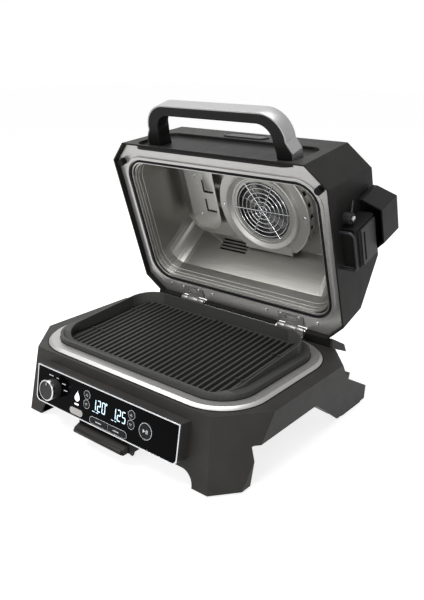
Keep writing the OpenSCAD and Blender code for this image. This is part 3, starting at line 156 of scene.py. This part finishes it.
def brushed(name, dark, light, rough, line_mm, metal):
    """Sheet steel with brush lines from side to side, drawn coarse enough to show."""
    mat, tree, shader, place = start(name, Metallic=metal)
    fall, rise = BRUSHED_SPREAD
    tones = {"Color1": linear(dark), "Color2": linear(light)}
    drawn = add(tree, "ShaderNodeMapping", {"Vector": place}, Scale=BRUSH_DRAW)
    lines = add(tree, "ShaderNodeTexNoise", {"Vector": drawn}, Scale=per_mm(line_mm), Detail=4.0)
    feed(
        tree,
        shader,
        Base_Color=add(tree, "ShaderNodeMixRGB", {"Fac": lines}, **tones),
        Roughness=add(
            tree, "ShaderNodeMapRange", {"Value": lines}, To_Min=rough - fall, To_Max=rough + rise
        ),
        Normal=add(tree, "ShaderNodeBump", {"Height": lines}, Distance=BRUSH_DEPTH * MM),
    )
    return mat


def plated(name, dark, light, rough):
    """Bright plated metal with a little haze."""
    mat, tree, shader, place = start(name, Metallic=1.0)
    fall, rise = PLATED_SPREAD
    tones = {"Color1": linear(dark), "Color2": linear(light)}
    haze = add(tree, "ShaderNodeTexNoise", {"Vector": place}, Scale=per_mm(HAZE), Detail=3.0)
    feed(
        tree,
        shader,
        Base_Color=add(tree, "ShaderNodeMixRGB", {"Fac": haze}, **tones),
        Roughness=add(
            tree, "ShaderNodeMapRange", {"Value": haze}, To_Min=rough - fall, To_Max=rough + rise
        ),
    )
    return mat


def coated(name, dark, light, speck_mm, rough, metal=0.0, shine=0.2):
    """Coating, lacquer or ink with fine orange peel, drawn coarse enough to show."""
    mat, tree, shader, place = start(name, Metallic=metal, Specular_IOR_Level=shine)
    fall, rise = COATED_SPREAD
    tones = {"Color1": linear(dark), "Color2": linear(light)}
    speck = add(tree, "ShaderNodeTexNoise", {"Vector": place}, Scale=per_mm(speck_mm), Detail=2.0)
    wear = add(tree, "ShaderNodeTexNoise", {"Vector": place}, Scale=per_mm(WEAR), Detail=3.0)
    feed(
        tree,
        shader,
        Base_Color=add(tree, "ShaderNodeMixRGB", {"Fac": speck}, **tones),
        Roughness=add(
            tree, "ShaderNodeMapRange", {"Value": wear}, To_Min=rough - fall, To_Max=rough + rise
        ),
        Normal=add(tree, "ShaderNodeBump", {"Height": speck}, Distance=PEEL_DEPTH * MM),
    )
    return mat


def polished(name, dark, light, rough, shine):
    """Polished plastic with faint wiping smears along the panel."""
    mat, tree, shader, place = start(name, Specular_IOR_Level=shine)
    fall, rise = POLISHED_SPREAD
    tones = {"Color1": linear(dark), "Color2": linear(light)}
    wiped = add(tree, "ShaderNodeMapping", {"Vector": place}, Scale=WIPE_DRAW)
    smear = add(tree, "ShaderNodeTexNoise", {"Vector": wiped}, Scale=per_mm(SMEAR), Detail=3.0)
    feed(
        tree,
        shader,
        Base_Color=add(tree, "ShaderNodeMixRGB", {"Fac": smear}, **tones),
        Roughness=add(
            tree, "ShaderNodeMapRange", {"Value": smear}, To_Min=rough - fall, To_Max=rough + rise
        ),
    )
    return mat


def lit(name, low, high, strength):
    """Lit figures and signs, a little uneven like diffused light-emitting diodes."""
    mat, tree, shader, place = start(name, Emission_Strength=strength, Roughness=0.4)
    tones = {"Color1": linear(low), "Color2": linear(high)}
    glow = add(tree, "ShaderNodeTexNoise", {"Vector": place}, Scale=per_mm(GLOW), Detail=2.0)
    tone = add(tree, "ShaderNodeMixRGB", {"Fac": glow}, **tones)
    feed(tree, shader, Base_Color=tone, Emission_Color=tone)
    return mat


# Dark grey ABS of the base, moulded with a grain that takes the shine off its flat faces
BASE_PLASTIC = moulded("grained_abs_base", "#252423", "#343332", grain_mm=0.6, rough=0.42, shine=0.08)
# The lid's ABS, with the same grain and a shade darker
LID_PLASTIC = moulded("grained_abs_lid", "#191818", "#242322", grain_mm=0.6, rough=0.44, shine=0.06)
# Glass-filled nylon of handle and smoke box, blacker and a little smoother
TRIM_PLASTIC = moulded("black_nylon", "#0f0f0f", "#1b1b1a", grain_mm=0.5, rough=0.4, shine=0.1)
# Satin ABS of the knob, with a soft light across its face
KNOB_PLASTIC = moulded("satin_knob_plastic", "#1f1e1e", "#2b2a2a", grain_mm=0.5, rough=0.36, shine=0.16)
# Silicone rubber of seals and feet, dull and slightly dusty
RUBBER = moulded("black_silicone_rubber", "#0c0c0d", "#161617", grain_mm=0.9, rough=0.7, shine=0.1)
# Powder-coated sheet under the base and of the tray's runners, dull with a fine texture
COVER_SHEET = coated("black_powder_coat", "#121213", "#1c1c1e", speck_mm=0.8, rough=0.55)
# Polished acrylic of the panel, near black with a soft gloss
PANEL_GLOSS = polished("black_acrylic", "#020203", "#060607", rough=0.12, shine=0.02)
# Acrylic of the keys, just greyer than the panel round them
KEY_GLOSS = polished("black_key_acrylic", "#060607", "#0e0e10", rough=0.16, shine=0.1)
# Smoked block of the display, blue-black
SCREEN = polished("display_block", "#0a0f14", "#10171d", rough=0.2, shine=0.1)
# Satin lacquer of the smoke key, pale and slightly metallic
GREY_KEY = coated("grey_key_lacquer", "#8a8886", "#a5a3a1", speck_mm=0.7, rough=0.35, metal=0.5)
# Solder mask of the circuit board, green and uneven
CIRCUIT = coated("green_solder_mask", "#0f3620", "#1b4d2f", speck_mm=3.0, rough=0.4)
# Stainless steel of the rim, brushed from side to side, so that highlights smear along it
RIM_STEEL = brushed("brushed_stainless_rim", "#8c8b89", "#b2b1af", rough=0.44, line_mm=0.5, metal=1.0)
# Stainless steel of the handle's strap, brushed in the same way and a shade darker
STRAP_STEEL = brushed(
    "brushed_stainless_strap", "#868686", "#a8a8a8", rough=0.42, line_mm=0.5, metal=1.0
)
# Drawn stainless steel of the liner, satin with long soft reflections
LINER_STEEL = brushed("satin_stainless_liner", "#908f8b", "#a3a29d", rough=0.3, line_mm=0.8, metal=0.95)
# Stainless sheet of fan cover and deflector, satin, paler and more even
SHEET_STEEL = brushed("satin_stainless_sheet", "#979692", "#b8b7b3", rough=0.38, line_mm=0.6, metal=0.7)
# Stainless steel of the lid's rim plate, satin and pale
RIM_PLATE_STEEL = brushed(
    "satin_stainless_lid_rim", "#979694", "#bab9b7", rough=0.3, line_mm=0.5, metal=0.7
)
# Pressed steel of the hinges, satin and mid grey
HINGE_STEEL = brushed("satin_hinge_steel", "#7c7b7a", "#9b9a99", rough=0.4, line_mm=0.5, metal=0.9)
# Chrome plating, bright with small hard highlights
PLATING = plated("bright_chrome_plating", "#adaeb1", "#cfd0d2", rough=0.18)
# Blackened steel of elements, bail and drawer, dark with a dull metallic sheen
DARK_STEEL = coated("blackened_steel", "#262628", "#3a3a3c", speck_mm=1.2, rough=0.42, metal=0.7)
# Cast aluminium of the fan, mid grey and matt
FAN_ALLOY = coated("cast_fan_alloy", "#707173", "#909193", speck_mm=1.0, rough=0.4, metal=1.0)
# Ceramic non-stick coating of the cast plate, dark with a soft sheen
NON_STICK = coated(
    "ceramic_non_stick", "#2a2a29", "#3c3c3a", speck_mm=0.7, rough=0.46, metal=0.0, shine=0.15
)
# Baked coat of the tray, dark with a low metallic gloss
TRAY_COAT = coated("grey_tray_coat", "#191817", "#282726", speck_mm=0.9, rough=0.42, metal=0.6)
# Screen-printed ink of the panel, pale grey and matt
INK = coated("panel_grey_ink", "#a9acb0", "#c9ccd0", speck_mm=0.5, rough=0.5)
# Light of the display, cold and pale
DISPLAY_LIGHT = lit("display_light", "#a3c4d8", "#d8ecf7", strength=0.9)
# Light of the smoke sign, white
SIGN_LIGHT = lit("smoke_sign_light", "#d3d7da", "#f4f6f7", strength=0.8)

# Finish of each slot of the record
SLOTS = {
    "base_plastic": BASE_PLASTIC,
    "lid_plastic": LID_PLASTIC,
    "cover_sheet": COVER_SHEET,
    "trim_plastic": TRIM_PLASTIC,
    "button_plastic": KEY_GLOSS,
    "grey_button": GREY_KEY,
    "rubber": RUBBER,
    "panel_gloss": PANEL_GLOSS,
    "circuit_board": CIRCUIT,
    "display": SCREEN,
    "brushed_steel": RIM_STEEL,
    "satin_steel": SHEET_STEEL,
    "bright_metal": PLATING,
    "dark_metal": DARK_STEEL,
    "fan_alloy": FAN_ALLOY,
    "plate_coating": NON_STICK,
    "tray_metal": TRAY_COAT,
}
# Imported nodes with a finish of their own
OWN = {
    "lid_liner": LINER_STEEL,
    "handle_strap": STRAP_STEEL,
    "lid_rim_plate": RIM_PLATE_STEEL,
    "hinge_brackets": HINGE_STEEL,
    "hinge_leaves": HINGE_STEEL,
    "knob_body": KNOB_PLASTIC,
}

for row in frame["record"]["subparts"]:
    packed = nodes[row["node"]]
    packed.data.materials.clear()
    packed.data.materials.append(OWN.get(row["node"], SLOTS[row["material_slot"]]))


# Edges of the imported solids, by width in millimetres
EDGES = {
    1.2: (
        "base_housing",
        "lid_shell",
        "control_pod",
        "handle_core",
        "rear_spacers",
        "smoker_cap",
        "smoker_housing",
    ),
    0.6: (
        "grill_plate",
        "cooking_pot",
        "drip_tray",
        "pellet_drawer",
        "knob_body",
        "fan_cover",
        "air_deflector",
    ),
    0.3: (
        "panel_bezel",
        "handle_strap",
        "lid_rim_plate",
        "lid_liner",
        "hinge_brackets",
        "hinge_leaves",
    ),
}
WELD_GAP, FLAT_ANGLE, SHARP_ANGLE = 0.002, 0.5, 35


def soften(node, width_mm):
    """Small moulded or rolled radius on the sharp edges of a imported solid."""
    node.modifiers.new("weld", "WELD").merge_threshold = WELD_GAP * MM
    flat = node.modifiers.new("flat", "DECIMATE")
    flat.decimate_type = "DISSOLVE"
    flat.angle_limit = math.radians(FLAT_ANGLE)
    edge = node.modifiers.new("edge", "BEVEL")
    edge.width = width_mm * MM
    edge.segments = 2
    edge.limit_method = "ANGLE"
    edge.angle_limit = math.radians(SHARP_ANGLE)
    edge.harden_normals = True


for width, names in EDGES.items():
    for name in names:
        soften(nodes[name], width)


# Tools for the pieces, all in millimetres

MERGE_GAP = 0.001


def finished(name, bm, place, body, mat):
    """The bmesh as a finished piece that rides on a body."""
    bmesh.ops.remove_doubles(bm, verts=bm.verts, dist=MERGE_GAP)
    bm.transform(place)
    bmesh.ops.recalc_face_normals(bm, faces=bm.faces)
    mesh = bpy.data.meshes.new(name)
    bm.to_mesh(mesh)
    bm.free()
    mesh.materials.append(mat)
    piece = bpy.data.objects.new(name, mesh)
    scene.collection.objects.link(piece)
    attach(piece, body)


def arc(cx, cy, r, a0, a1, steps):
    turn = [math.radians(a0 + (a1 - a0) * i / steps) for i in range(steps + 1)]
    return [(cx + r * math.cos(a), cy + r * math.sin(a)) for a in turn]


def circle(cx, cy, r, steps=40):
    return arc(cx, cy, r, 0, 360, steps)[:-1]


def stadium(cx, cy, length, height, steps=12):
    r = height / 2
    half = length / 2 - r
    return arc(cx + half, cy, r, -90, 90, steps) + arc(cx - half, cy, r, 90, 270, steps)


def rounded(x0, x1, y0, y1, r, steps=10):
    corners = (
        (x1 - r, y1 - r, 0),
        (x0 + r, y1 - r, 90),
        (x0 + r, y0 + r, 180),
        (x1 - r, y0 + r, 270),
    )
    return [point for x, y, a in corners for point in arc(x, y, r, a, a + 90, steps)]


def box(x0, x1, y0, y1):
    return [(x0, y0), (x1, y0), (x1, y1), (x0, y1)]


def closed_line(bm, points, z):
    verts = [bm.verts.new((x, y, z)) for x, y in points]
    return [bm.edges.new(pair) for pair in zip(verts, verts[1:] + verts[:1])]


def raised(bm, faces, height):
    grown = bmesh.ops.extrude_face_region(bm, geom=faces)["geom"]
    tops = [item for item in grown if isinstance(item, bmesh.types.BMVert)]
    bmesh.ops.translate(bm, verts=tops, vec=(0, 0, height))


def slab(bm, points, low, high):
    """Closed slab on an outline."""
    filled = bmesh.ops.contextual_create(bm, geom=closed_line(bm, points, low))["faces"]
    raised(bm, filled, high - low)


def hoop(bm, outer, inner, low, high):
    """Closed strip between two outlines."""
    lines = closed_line(bm, outer, low) + closed_line(bm, inner, low)
    bridged = bmesh.ops.bridge_loops(bm, edges=lines)["faces"]
    raised(bm, bridged, high - low)


def lathe(bm, spot, profile, steps):
    """Turned form about the z axis through spot, from (radius, height) pairs."""
    x, y, z = spot
    verts = [bm.verts.new((x + r, y, z + h)) for r, h in profile]
    edges = [bm.edges.new(pair) for pair in zip(verts, verts[1:])]
    bmesh.ops.spin(
        bm,
        geom=verts + edges,
        cent=spot,
        axis=(0, 0, 1),
        angle=math.tau,
        steps=steps,
        use_merge=True,
        use_duplicate=False,
    )


def wire(bm, path, r, closed, sides=8):
    """Round wire along a path of points."""
    points = [Vector(p) for p in path]
    last = len(points) - 1
    rings = []
    for i, point in enumerate(points):
        before = points[i - 1] if closed or i else point
        after = points[(i + 1) % len(points)] if closed or i < last else point
        turn = (after - before).to_track_quat("Z", "Y").to_matrix().to_4x4()
        made = bmesh.ops.create_circle(
            bm,
            cap_ends=not closed and i in (0, last),
            segments=sides,
            radius=r,
            matrix=Matrix.Translation(point) @ turn,
        )
        edges = {edge for vert in made["verts"] for edge in vert.link_edges}
        rings.append([edge for edge in edges if len(edge.link_faces) < 2])
    for a, b in zip(rings, rings[1:] + (rings[:1] if closed else [])):
        bmesh.ops.bridge_loops(bm, edges=a + b)


# Display: seven-segment figures, degree ring and unit bars
PRINT_SUNK, PRINT_PROUD = 0.05, 0.12
PRINT = (GLASS - PRINT_SUNK, GLASS + PRINT_PROUD)
SEGMENTS = {"0": "abcdef", "1": "bc", "2": "abdeg", "5": "acdfg"}
FIGURE_W, FIGURE_H, FIGURE_T, FIGURE_Y = 6.2, 17.0, 1.5, -4.5
DEGREES_SHOWN = ("120", (-20.5, -9.8, 0.4))
MINUTES_SHOWN = ("125", (23.6, 34.2, 44.4))
DEGREE_RING, DEGREE_R, DEGREE_BORE = (9.2, 12.0), 1.9, 0.9
UNIT_BARS = ((-21.5, -14.5), (-12.8, -7.0), (21.4, 27.0), (28.6, 33.0))
UNIT_Y, UNIT_T = -7.6, 1.0


def segment(bm, x0, y0, x1, y1, t):
    """Lit segment with pointed ends."""
    a, b = Vector((x0, y0)), Vector((x1, y1))
    along = (b - a).normalized() * t / 2
    side = Vector((-along.y, along.x))
    upper = [a + along + side, b - along + side]
    lower = [b - along - side, a + along - side]
    slab(bm, [tuple(point) for point in [a] + upper + [b] + lower], *PRINT)


def figure(bm, mark, left):
    """Seven-segment figure from its left edge."""
    right, low, high = left + FIGURE_W, FIGURE_Y, FIGURE_Y + FIGURE_H
    middle = (low + high) / 2
    lines = {
        "a": (left, high, right, high),
        "b": (right, middle, right, high),
        "c": (right, low, right, middle),
        "d": (left, low, right, low),
        "e": (left, low, left, middle),
        "f": (left, middle, left, high),
        "g": (left, middle, right, middle),
    }
    for key in SEGMENTS[mark]:
        segment(bm, *lines[key], FIGURE_T)


bm = bmesh.new()
for marks, places in (DEGREES_SHOWN, MINUTES_SHOWN):
    for mark, left in zip(marks, places):
        figure(bm, mark, left)
degree_bore = circle(*DEGREE_RING, DEGREE_BORE, steps=16)
hoop(bm, circle(*DEGREE_RING, DEGREE_R, steps=16), degree_bore, *PRINT)
for x0, x1 in UNIT_BARS:
    segment(bm, x0, UNIT_Y, x1, UNIT_Y, UNIT_T)
finished("display_figures", bm, PANEL, "base", DISPLAY_LIGHT)

# Printed key outlines, and plain bars round the knob
LINE = 0.6
TWIN_KEY, TWIN_L, TWIN_H, TWIN_SPLIT = (15.4, -22.3), 82.0, 12.4, 4.3
ROUND_KEYS = {
    "temp_up_key": (-35.0, 14.0, 1),
    "temp_down_key": (-35.0, -1.4, -1),
    "time_up_key": (63.0, 14.0, 1),
    "time_down_key": (63.0, -1.4, -1),
}
ROUND_R = 7.2
START_KEY, START_R, START_LINE = (93.0, -1.4), 12.9, 0.9
DIAL_BARS = ((-122.5, 20.0, 11), (-106.5, 19.5, 6), (-90.7, 14.3, 9), (-85.7, 4.6, 9))
DIAL_BAR_H = 1.4

bm = bmesh.new()
twin_inside = stadium(*TWIN_KEY, TWIN_L - 2 * LINE, TWIN_H - 2 * LINE)
hoop(bm, stadium(*TWIN_KEY, TWIN_L, TWIN_H), twin_inside, *PRINT)
x, y = TWIN_KEY
slab(bm, box(x - LINE / 2, x + LINE / 2, y - TWIN_SPLIT, y + TWIN_SPLIT), *PRINT)
for x, y, _ in ROUND_KEYS.values():
    hoop(bm, circle(x, y, ROUND_R), circle(x, y, ROUND_R - LINE), *PRINT)
start_inside = circle(*START_KEY, START_R - START_LINE, steps=48)
hoop(bm, circle(*START_KEY, START_R, steps=48), start_inside, *PRINT)
for x, y, length in DIAL_BARS:
    slab(bm, stadium(x, y, length, DIAL_BAR_H, steps=4), *PRINT)
finished("panel_print", bm, PANEL, "base", INK)

# Plain flame drop on a short bar above the smoke key
SIGN_X, SIGN_LOW, SIGN_W, SIGN_H, SIGN_LEAN = -57.5, -4.0, 6.6, 17.5, 1.6
SIGN_BELLY, SIGN_TAPER, SIGN_STEPS = 0.72, 0.35, 40
SIGN_BAR_Y, SIGN_BAR_L, SIGN_BAR_H = -8.6, 10.0, 2.6

share = [i / SIGN_STEPS for i in range(SIGN_STEPS + 1)]
swell = [SIGN_W * math.sin(math.pi * t**SIGN_BELLY) * (1 - SIGN_TAPER * t) for t in share]
right_edge = [(SIGN_X + s, SIGN_LOW + SIGN_H * t) for t, s in zip(share, swell)]
left_edge = [(SIGN_X - s + SIGN_LEAN * t * t, SIGN_LOW + SIGN_H * t) for t, s in zip(share, swell)]
bm = bmesh.new()
slab(bm, right_edge + left_edge[-2:0:-1], *PRINT)
slab(bm, stadium(SIGN_X, SIGN_BAR_Y, SIGN_BAR_L, SIGN_BAR_H, steps=6), *PRINT)
finished("smoke_icon", bm, PANEL, "base", SIGN_LIGHT)

# Marks on the keys: arrows, play and pause, and plain bars
KEY_PRINT_PROUD = 0.15
KEY_PRINT = (KEY_TOP, KEY_TOP + KEY_PRINT_PROUD)
ARROW, ARROW_HOLE = (2.8, 1.5, 1.9), (1.9, 1.0, 1.2)
PLAY_BACK, PLAY_TIP, PLAY_HALF = -4.5, 0.2, 3.0
PAUSE_BARS, PAUSE_W = (1.6, 4.0), 1.3
TWIN_MARKS = {"preset_key": -5.0, "manual_key": 34.0}
TWIN_MARK_L, TWIN_MARK_H = 13.0, 1.3


def arrow(x, y, way, half, below, above):
    """Triangle by its half width and its reach below and above the key's middle."""
    return [(x - half, y - below * way), (x, y + above * way), (x + half, y - below * way)]


for body, (x, y, way) in ROUND_KEYS.items():
    bm = bmesh.new()
    hoop(bm, arrow(x, y, way, *ARROW), arrow(x, y, way, *ARROW_HOLE), *KEY_PRINT)
    finished(body + "_mark", bm, PANEL, body, INK)

x, y = START_KEY
low, high = y - PLAY_HALF, y + PLAY_HALF
bm = bmesh.new()
slab(bm, [(x + PLAY_BACK, low), (x + PLAY_TIP, y), (x + PLAY_BACK, high)], *KEY_PRINT)
for shift in PAUSE_BARS:
    slab(bm, box(x + shift, x + shift + PAUSE_W, low, high), *KEY_PRINT)
finished("start_key_mark", bm, PANEL, "start_key", INK)

for body, x in TWIN_MARKS.items():
    bm = bmesh.new()
    slab(bm, stadium(x, TWIN_KEY[1], TWIN_MARK_L, TWIN_MARK_H, steps=4), *KEY_PRINT)
    finished(body + "_mark", bm, PANEL, body, INK)

# Pointer line on the knob's face
POINTER_HALF, POINTER_FROM, POINTER_TO = 0.7, 8.5, 13.5
POINTER_SUNK, POINTER_PROUD = 0.1, 0.25

x, y, z = KNOB
bm = bmesh.new()
line = box(x - POINTER_HALF, x + POINTER_HALF, y + POINTER_FROM, y + POINTER_TO)
slab(bm, line, z - POINTER_SUNK, z + POINTER_PROUD)
finished("knob_pointer", bm, PANEL, "knob", INK)

# Screw heads with a socket, as (radius, height) pairs at size 1
HEAD = [(0, 0.5), (1.0, 0.5), (1.25, 1.2), (1.9, 1.25), (2.5, 0.8), (2.6, 0), (0, 0)]
RIM_SCREW_X, RIM_SCREW_Y = (-168, -62, 62, 168), -24
LEAF_SCREW_SHIFT, LEAF_SCREW_Y = 19, -27
FAN_SCREWS = ((88, 0), (-88, 0), (44, -76), (-44, -76))
SHIELD_SCREW_X, SHIELD_SCREW_Y = -131.5, (-138, -220)
BRACKET_SCREW_SHIFT, BRACKET_SCREW_Y, BRACKET_TOP = 22, 125, 118.5
COVER_SCREW_X, COVER_SCREW_Y, COVER_FACE = (-140, 140), (-110, 0, 100), 46
REAR_SCREW_X, REAR_SCREW_Z = (-130, 130), (56, 92)


def screws(name, place, way, spots, body, mat, size):
    """Screw heads at spots of a place; way turns the heads' axis into it."""
    bm = bmesh.new()
    profile = [(r * size, h * size) for r, h in HEAD]
    for spot in spots:
        lathe(bm, way.inverted() @ Vector(spot), profile, steps=20)
    finished(name, bm, place @ way, body, mat)


def at_hinges(shift, *rest):
    """Two spots at each hinge."""
    return [(side * HINGE_SIDE + d, *rest) for side in (-1, 1) for d in (-shift, shift)]


# Spots and size of the lid's screws
LID_SCREWS = {
    "lid_rim_screws": ([(x, RIM_SCREW_Y, LID_RIM) for x in RIM_SCREW_X], 1.2),
    "hinge_leaf_screws": (at_hinges(LEAF_SCREW_SHIFT, LEAF_SCREW_Y, LEAF), 1.0),
    "fan_cover_screws": ([(FAN[0] + x, y - FAN[1], FAN_FACE) for x, y in FAN_SCREWS], 1.1),
    "deflector_screws": ([(SHIELD_SCREW_X, y, SHIELD_FACE) for y in SHIELD_SCREW_Y], 1.1),
}
for name, (spots, size) in LID_SCREWS.items():
    screws(name, LID, DOWN, spots, "lid", PLATING, size)
spots = at_hinges(BRACKET_SCREW_SHIFT, BRACKET_SCREW_Y, BRACKET_TOP)
screws("hinge_bracket_screws", BASE, UP, spots, "base", PLATING, size=0.9)
spots = [(x, y, COVER_FACE) for x in COVER_SCREW_X for y in COVER_SCREW_Y]
screws("bottom_screws", BASE, DOWN, spots, "base", DARK_STEEL, size=1.3)
spots = [(x, REAR_WALL, z) for x in REAR_SCREW_X for z in REAR_SCREW_Z]
screws("rear_screws", BASE, REARWARD, spots, "base", DARK_STEEL, size=1.2)

# Bare plate behind the handle, with a raised rim
BADGE, BADGE_L, BADGE_H, BADGE_RIM = (-6, 122), 92, 26, 2.5
BADGE_SUNK, BADGE_T, BADGE_RIM_T = -0.2, 1.2, 2.0

bm = bmesh.new()
outline = stadium(*BADGE, BADGE_L, BADGE_H)
slab(bm, outline, BADGE_SUNK, BADGE_T)
inside = stadium(*BADGE, BADGE_L - 2 * BADGE_RIM, BADGE_H - 2 * BADGE_RIM)
hoop(bm, outline, inside, BADGE_T, BADGE_RIM_T)
finished("badge_plate", bm, LID_FRONT, "lid", DARK_STEEL)

# Lips of the lid beside the hinges, which close the gap behind the deck
LIP_X, LIP_Y, LIP_W, LIP_R = (142.5, 194.3), (-2, 16), (0.5, 6), 4

bm = bmesh.new()
for side in (-1, 1):
    x0, x1 = sorted(side * x for x in LIP_X)
    slab(bm, rounded(x0, x1, *LIP_Y, LIP_R, steps=6), *LIP_W)
finished("lid_rear_lips", bm, LID, "lid", LID_PLASTIC)

# Black rubber band between the steel rim and the deck: a painted shade line along their joint
SHADE_BAND_OUT, SHADE_BAND_IN = 1.6, -0.2
SHADE_BAND_SUNK, SHADE_BAND_PROUD = 0.1, 0.6


def rim_outline(grown):
    side, corner = RIM_SIDE + grown, RIM_CORNER + grown
    return rounded(-side, side, RIM_FRONT - grown, RIM_REAR + grown, corner, steps=16)


bm = bmesh.new()
hoop(bm, rim_outline(SHADE_BAND_OUT), rim_outline(SHADE_BAND_IN), DECK - SHADE_BAND_SUNK, DECK + SHADE_BAND_PROUD)
finished("rim_shade_band", bm, BASE, "base", RUBBER)

# Wire hook under the front of the tray, as (y, z) points
HOOK_X, HOOK_R = 51, 1.5
HOOK = (
    (-196, 21.5),
    (-198, 19),
    (-200.5, 15),
    (-201, 11.5),
    (-199, 9.4),
    (-196.5, 10.5),
    (-195.8, 13),
)

bm = bmesh.new()
wire(bm, [(HOOK_X, y, z) for y, z in HOOK], HOOK_R, closed=False)
finished("tray_hook", bm, BASE, "tray", DARK_STEEL)

# Dished ring on the fan cover, as (radius, height) pairs
DISH = [
    (62.5, 0.0),
    (62.5, 0.9),
    (65.0, 1.3),
    (72.5, 6.2),
    (74.5, 6.8),
    (76.2, 6.2),
    (77.0, 4.6),
    (77.0, 0.0),
    (62.5, 0.0),
]

bm = bmesh.new()
lathe(bm, (0, 0, 0), DISH, steps=72)
on_fan_cover = LID @ Matrix.Translation((FAN[0], -FAN[1], FAN_FACE)) @ DOWN
finished("fan_dish", bm, on_fan_cover, "lid", SHEET_STEEL)

# Rolled beads inside the tapered mouth of the liner
MOUTH, MOUTH_LOW, MOUTH_H, MOUTH_SIDE_IN, MOUTH_REAR_IN = 27.0, 11.5, 33.5, 4.0, 10.0
BEADS, BEAD_R, BEAD_CORNER = (16.0, 22.0, 30.0), 0.8, 41

bm = bmesh.new()
for w in BEADS:
    rise = (w - MOUTH_LOW) / MOUTH_H
    side, rear = MOUTH + MOUTH_SIDE_IN * rise, MOUTH + MOUTH_REAR_IN * rise
    y0, y1 = RIM_FRONT - HINGE[1] + side, RIM_REAR - HINGE[1] - rear
    path = rounded(side - RIM_SIDE, RIM_SIDE - side, y0, y1, BEAD_CORNER)
    wire(bm, [(x, y, w) for x, y in path], BEAD_R, closed=True)
finished("liner_beads", bm, LID, "lid", SHEET_STEEL)


# Stage, in metres

FLOOR_REACH, FLOOR_DROP, FLOOR_GLOW = 8.0, 0.6 * MM, 0.78
SKY_ON_OBJECT, SKY_SHOWN = 0.28, 1.0
WHITE = (1, 1, 1, 1)


def background_rays(tree):
    """One for rays that show the background: straight to the camera, by metal or through glass."""
    path = add(tree, "ShaderNodeLightPath").outputs
    direct = {0: path["Is Camera Ray"], 1: path["Is Glossy Ray"]}
    shown = add(tree, "ShaderNodeMath", direct, operation="MAXIMUM")
    through = {0: shown, 1: path["Is Transmission Ray"]}
    return add(tree, "ShaderNodeMath", through, operation="MAXIMUM")


bm = bmesh.new()
bmesh.ops.create_grid(bm, x_segments=1, y_segments=1, size=FLOOR_REACH)
floor_mesh = bpy.data.meshes.new("floor")
bm.to_mesh(floor_mesh)
bm.free()
floor = bpy.data.objects.new("floor", floor_mesh)
floor.location.z = -FLOOR_DROP
scene.collection.objects.link(floor)
# Painted board, pale and dull, which shows white behind the object
mat, tree, shader, _ = start(
    "pale_floor", Base_Color=linear("#bcbcbc"), Roughness=0.9, Emission_Color=WHITE
)
glow = add(tree, "ShaderNodeMapRange", {"Value": background_rays(tree)}, To_Max=FLOOR_GLOW)
feed(tree, shader, Emission_Strength=glow)
floor_mesh.materials.append(mat)

world = bpy.data.worlds.new("studio")
scene.world = world
world.use_nodes = True
tree = world.node_tree
sky = tree.nodes["Background"]
sky.inputs["Color"].default_value = WHITE
level = add(
    tree,
    "ShaderNodeMapRange",
    {"Value": background_rays(tree)},
    To_Min=SKY_ON_OBJECT,
    To_Max=SKY_SHOWN,
)
feed(tree, sky, Strength=level)

# Soft lamps: place, target, size and power in watts
LAMPS = {
    "key": ((-0.62, -0.6, 1.6), (0, 0.05, 0.15), (0.9, 0.9), 23),
    "front": ((0.15, -1.75, 0.75), (0, 0, 0.15), (1.4, 1.0), 12),
    "low": ((1.3, -1.15, 0.2), (0, 0, 0.12), (0.5, 0.3), 8),
    "back": ((-1.05, 0.95, 1.1), (0, 0.05, 0.2), (1.2, 1.8), 3.2),
    "top": ((0.2, -0.15, 1.7), (0, 0, 0.15), (0.8, 0.8), 19),
}
for name, (place, target, size, power) in LAMPS.items():
    data = bpy.data.lights.new(name, "AREA")
    data.shape = "RECTANGLE"
    data.size, data.size_y = size
    data.energy = power
    lamp = bpy.data.objects.new(name, data)
    lamp.location = place
    lamp.rotation_mode = "QUATERNION"
    lamp.rotation_quaternion = (Vector(target) - Vector(place)).to_track_quat("-Z", "Y")
    scene.collection.objects.link(lamp)

# Camera at the photograph's place
AZIMUTH, ELEVATION, DISTANCE = math.radians(39.3), math.radians(19.8), 1.2119
TARGET = Vector((0.0054, 0.0539, 0.1883))
LENS, SENSOR, SHIFT = 41.81, 36.0, (-0.004, -0.0088)

across = math.cos(ELEVATION)
away = Vector((math.sin(AZIMUTH) * across, -math.cos(AZIMUTH) * across, math.sin(ELEVATION)))
data = bpy.data.cameras.new("camera")
data.lens = LENS
data.sensor_width = SENSOR
data.shift_x, data.shift_y = SHIFT
camera = bpy.data.objects.new("camera", data)
camera.location = TARGET + away * DISTANCE
camera.rotation_mode = "QUATERNION"
camera.rotation_quaternion = (-away).to_track_quat("-Z", "Y")
scene.collection.objects.link(camera)
scene.camera = camera
scene.view_settings.view_transform = "Standard"
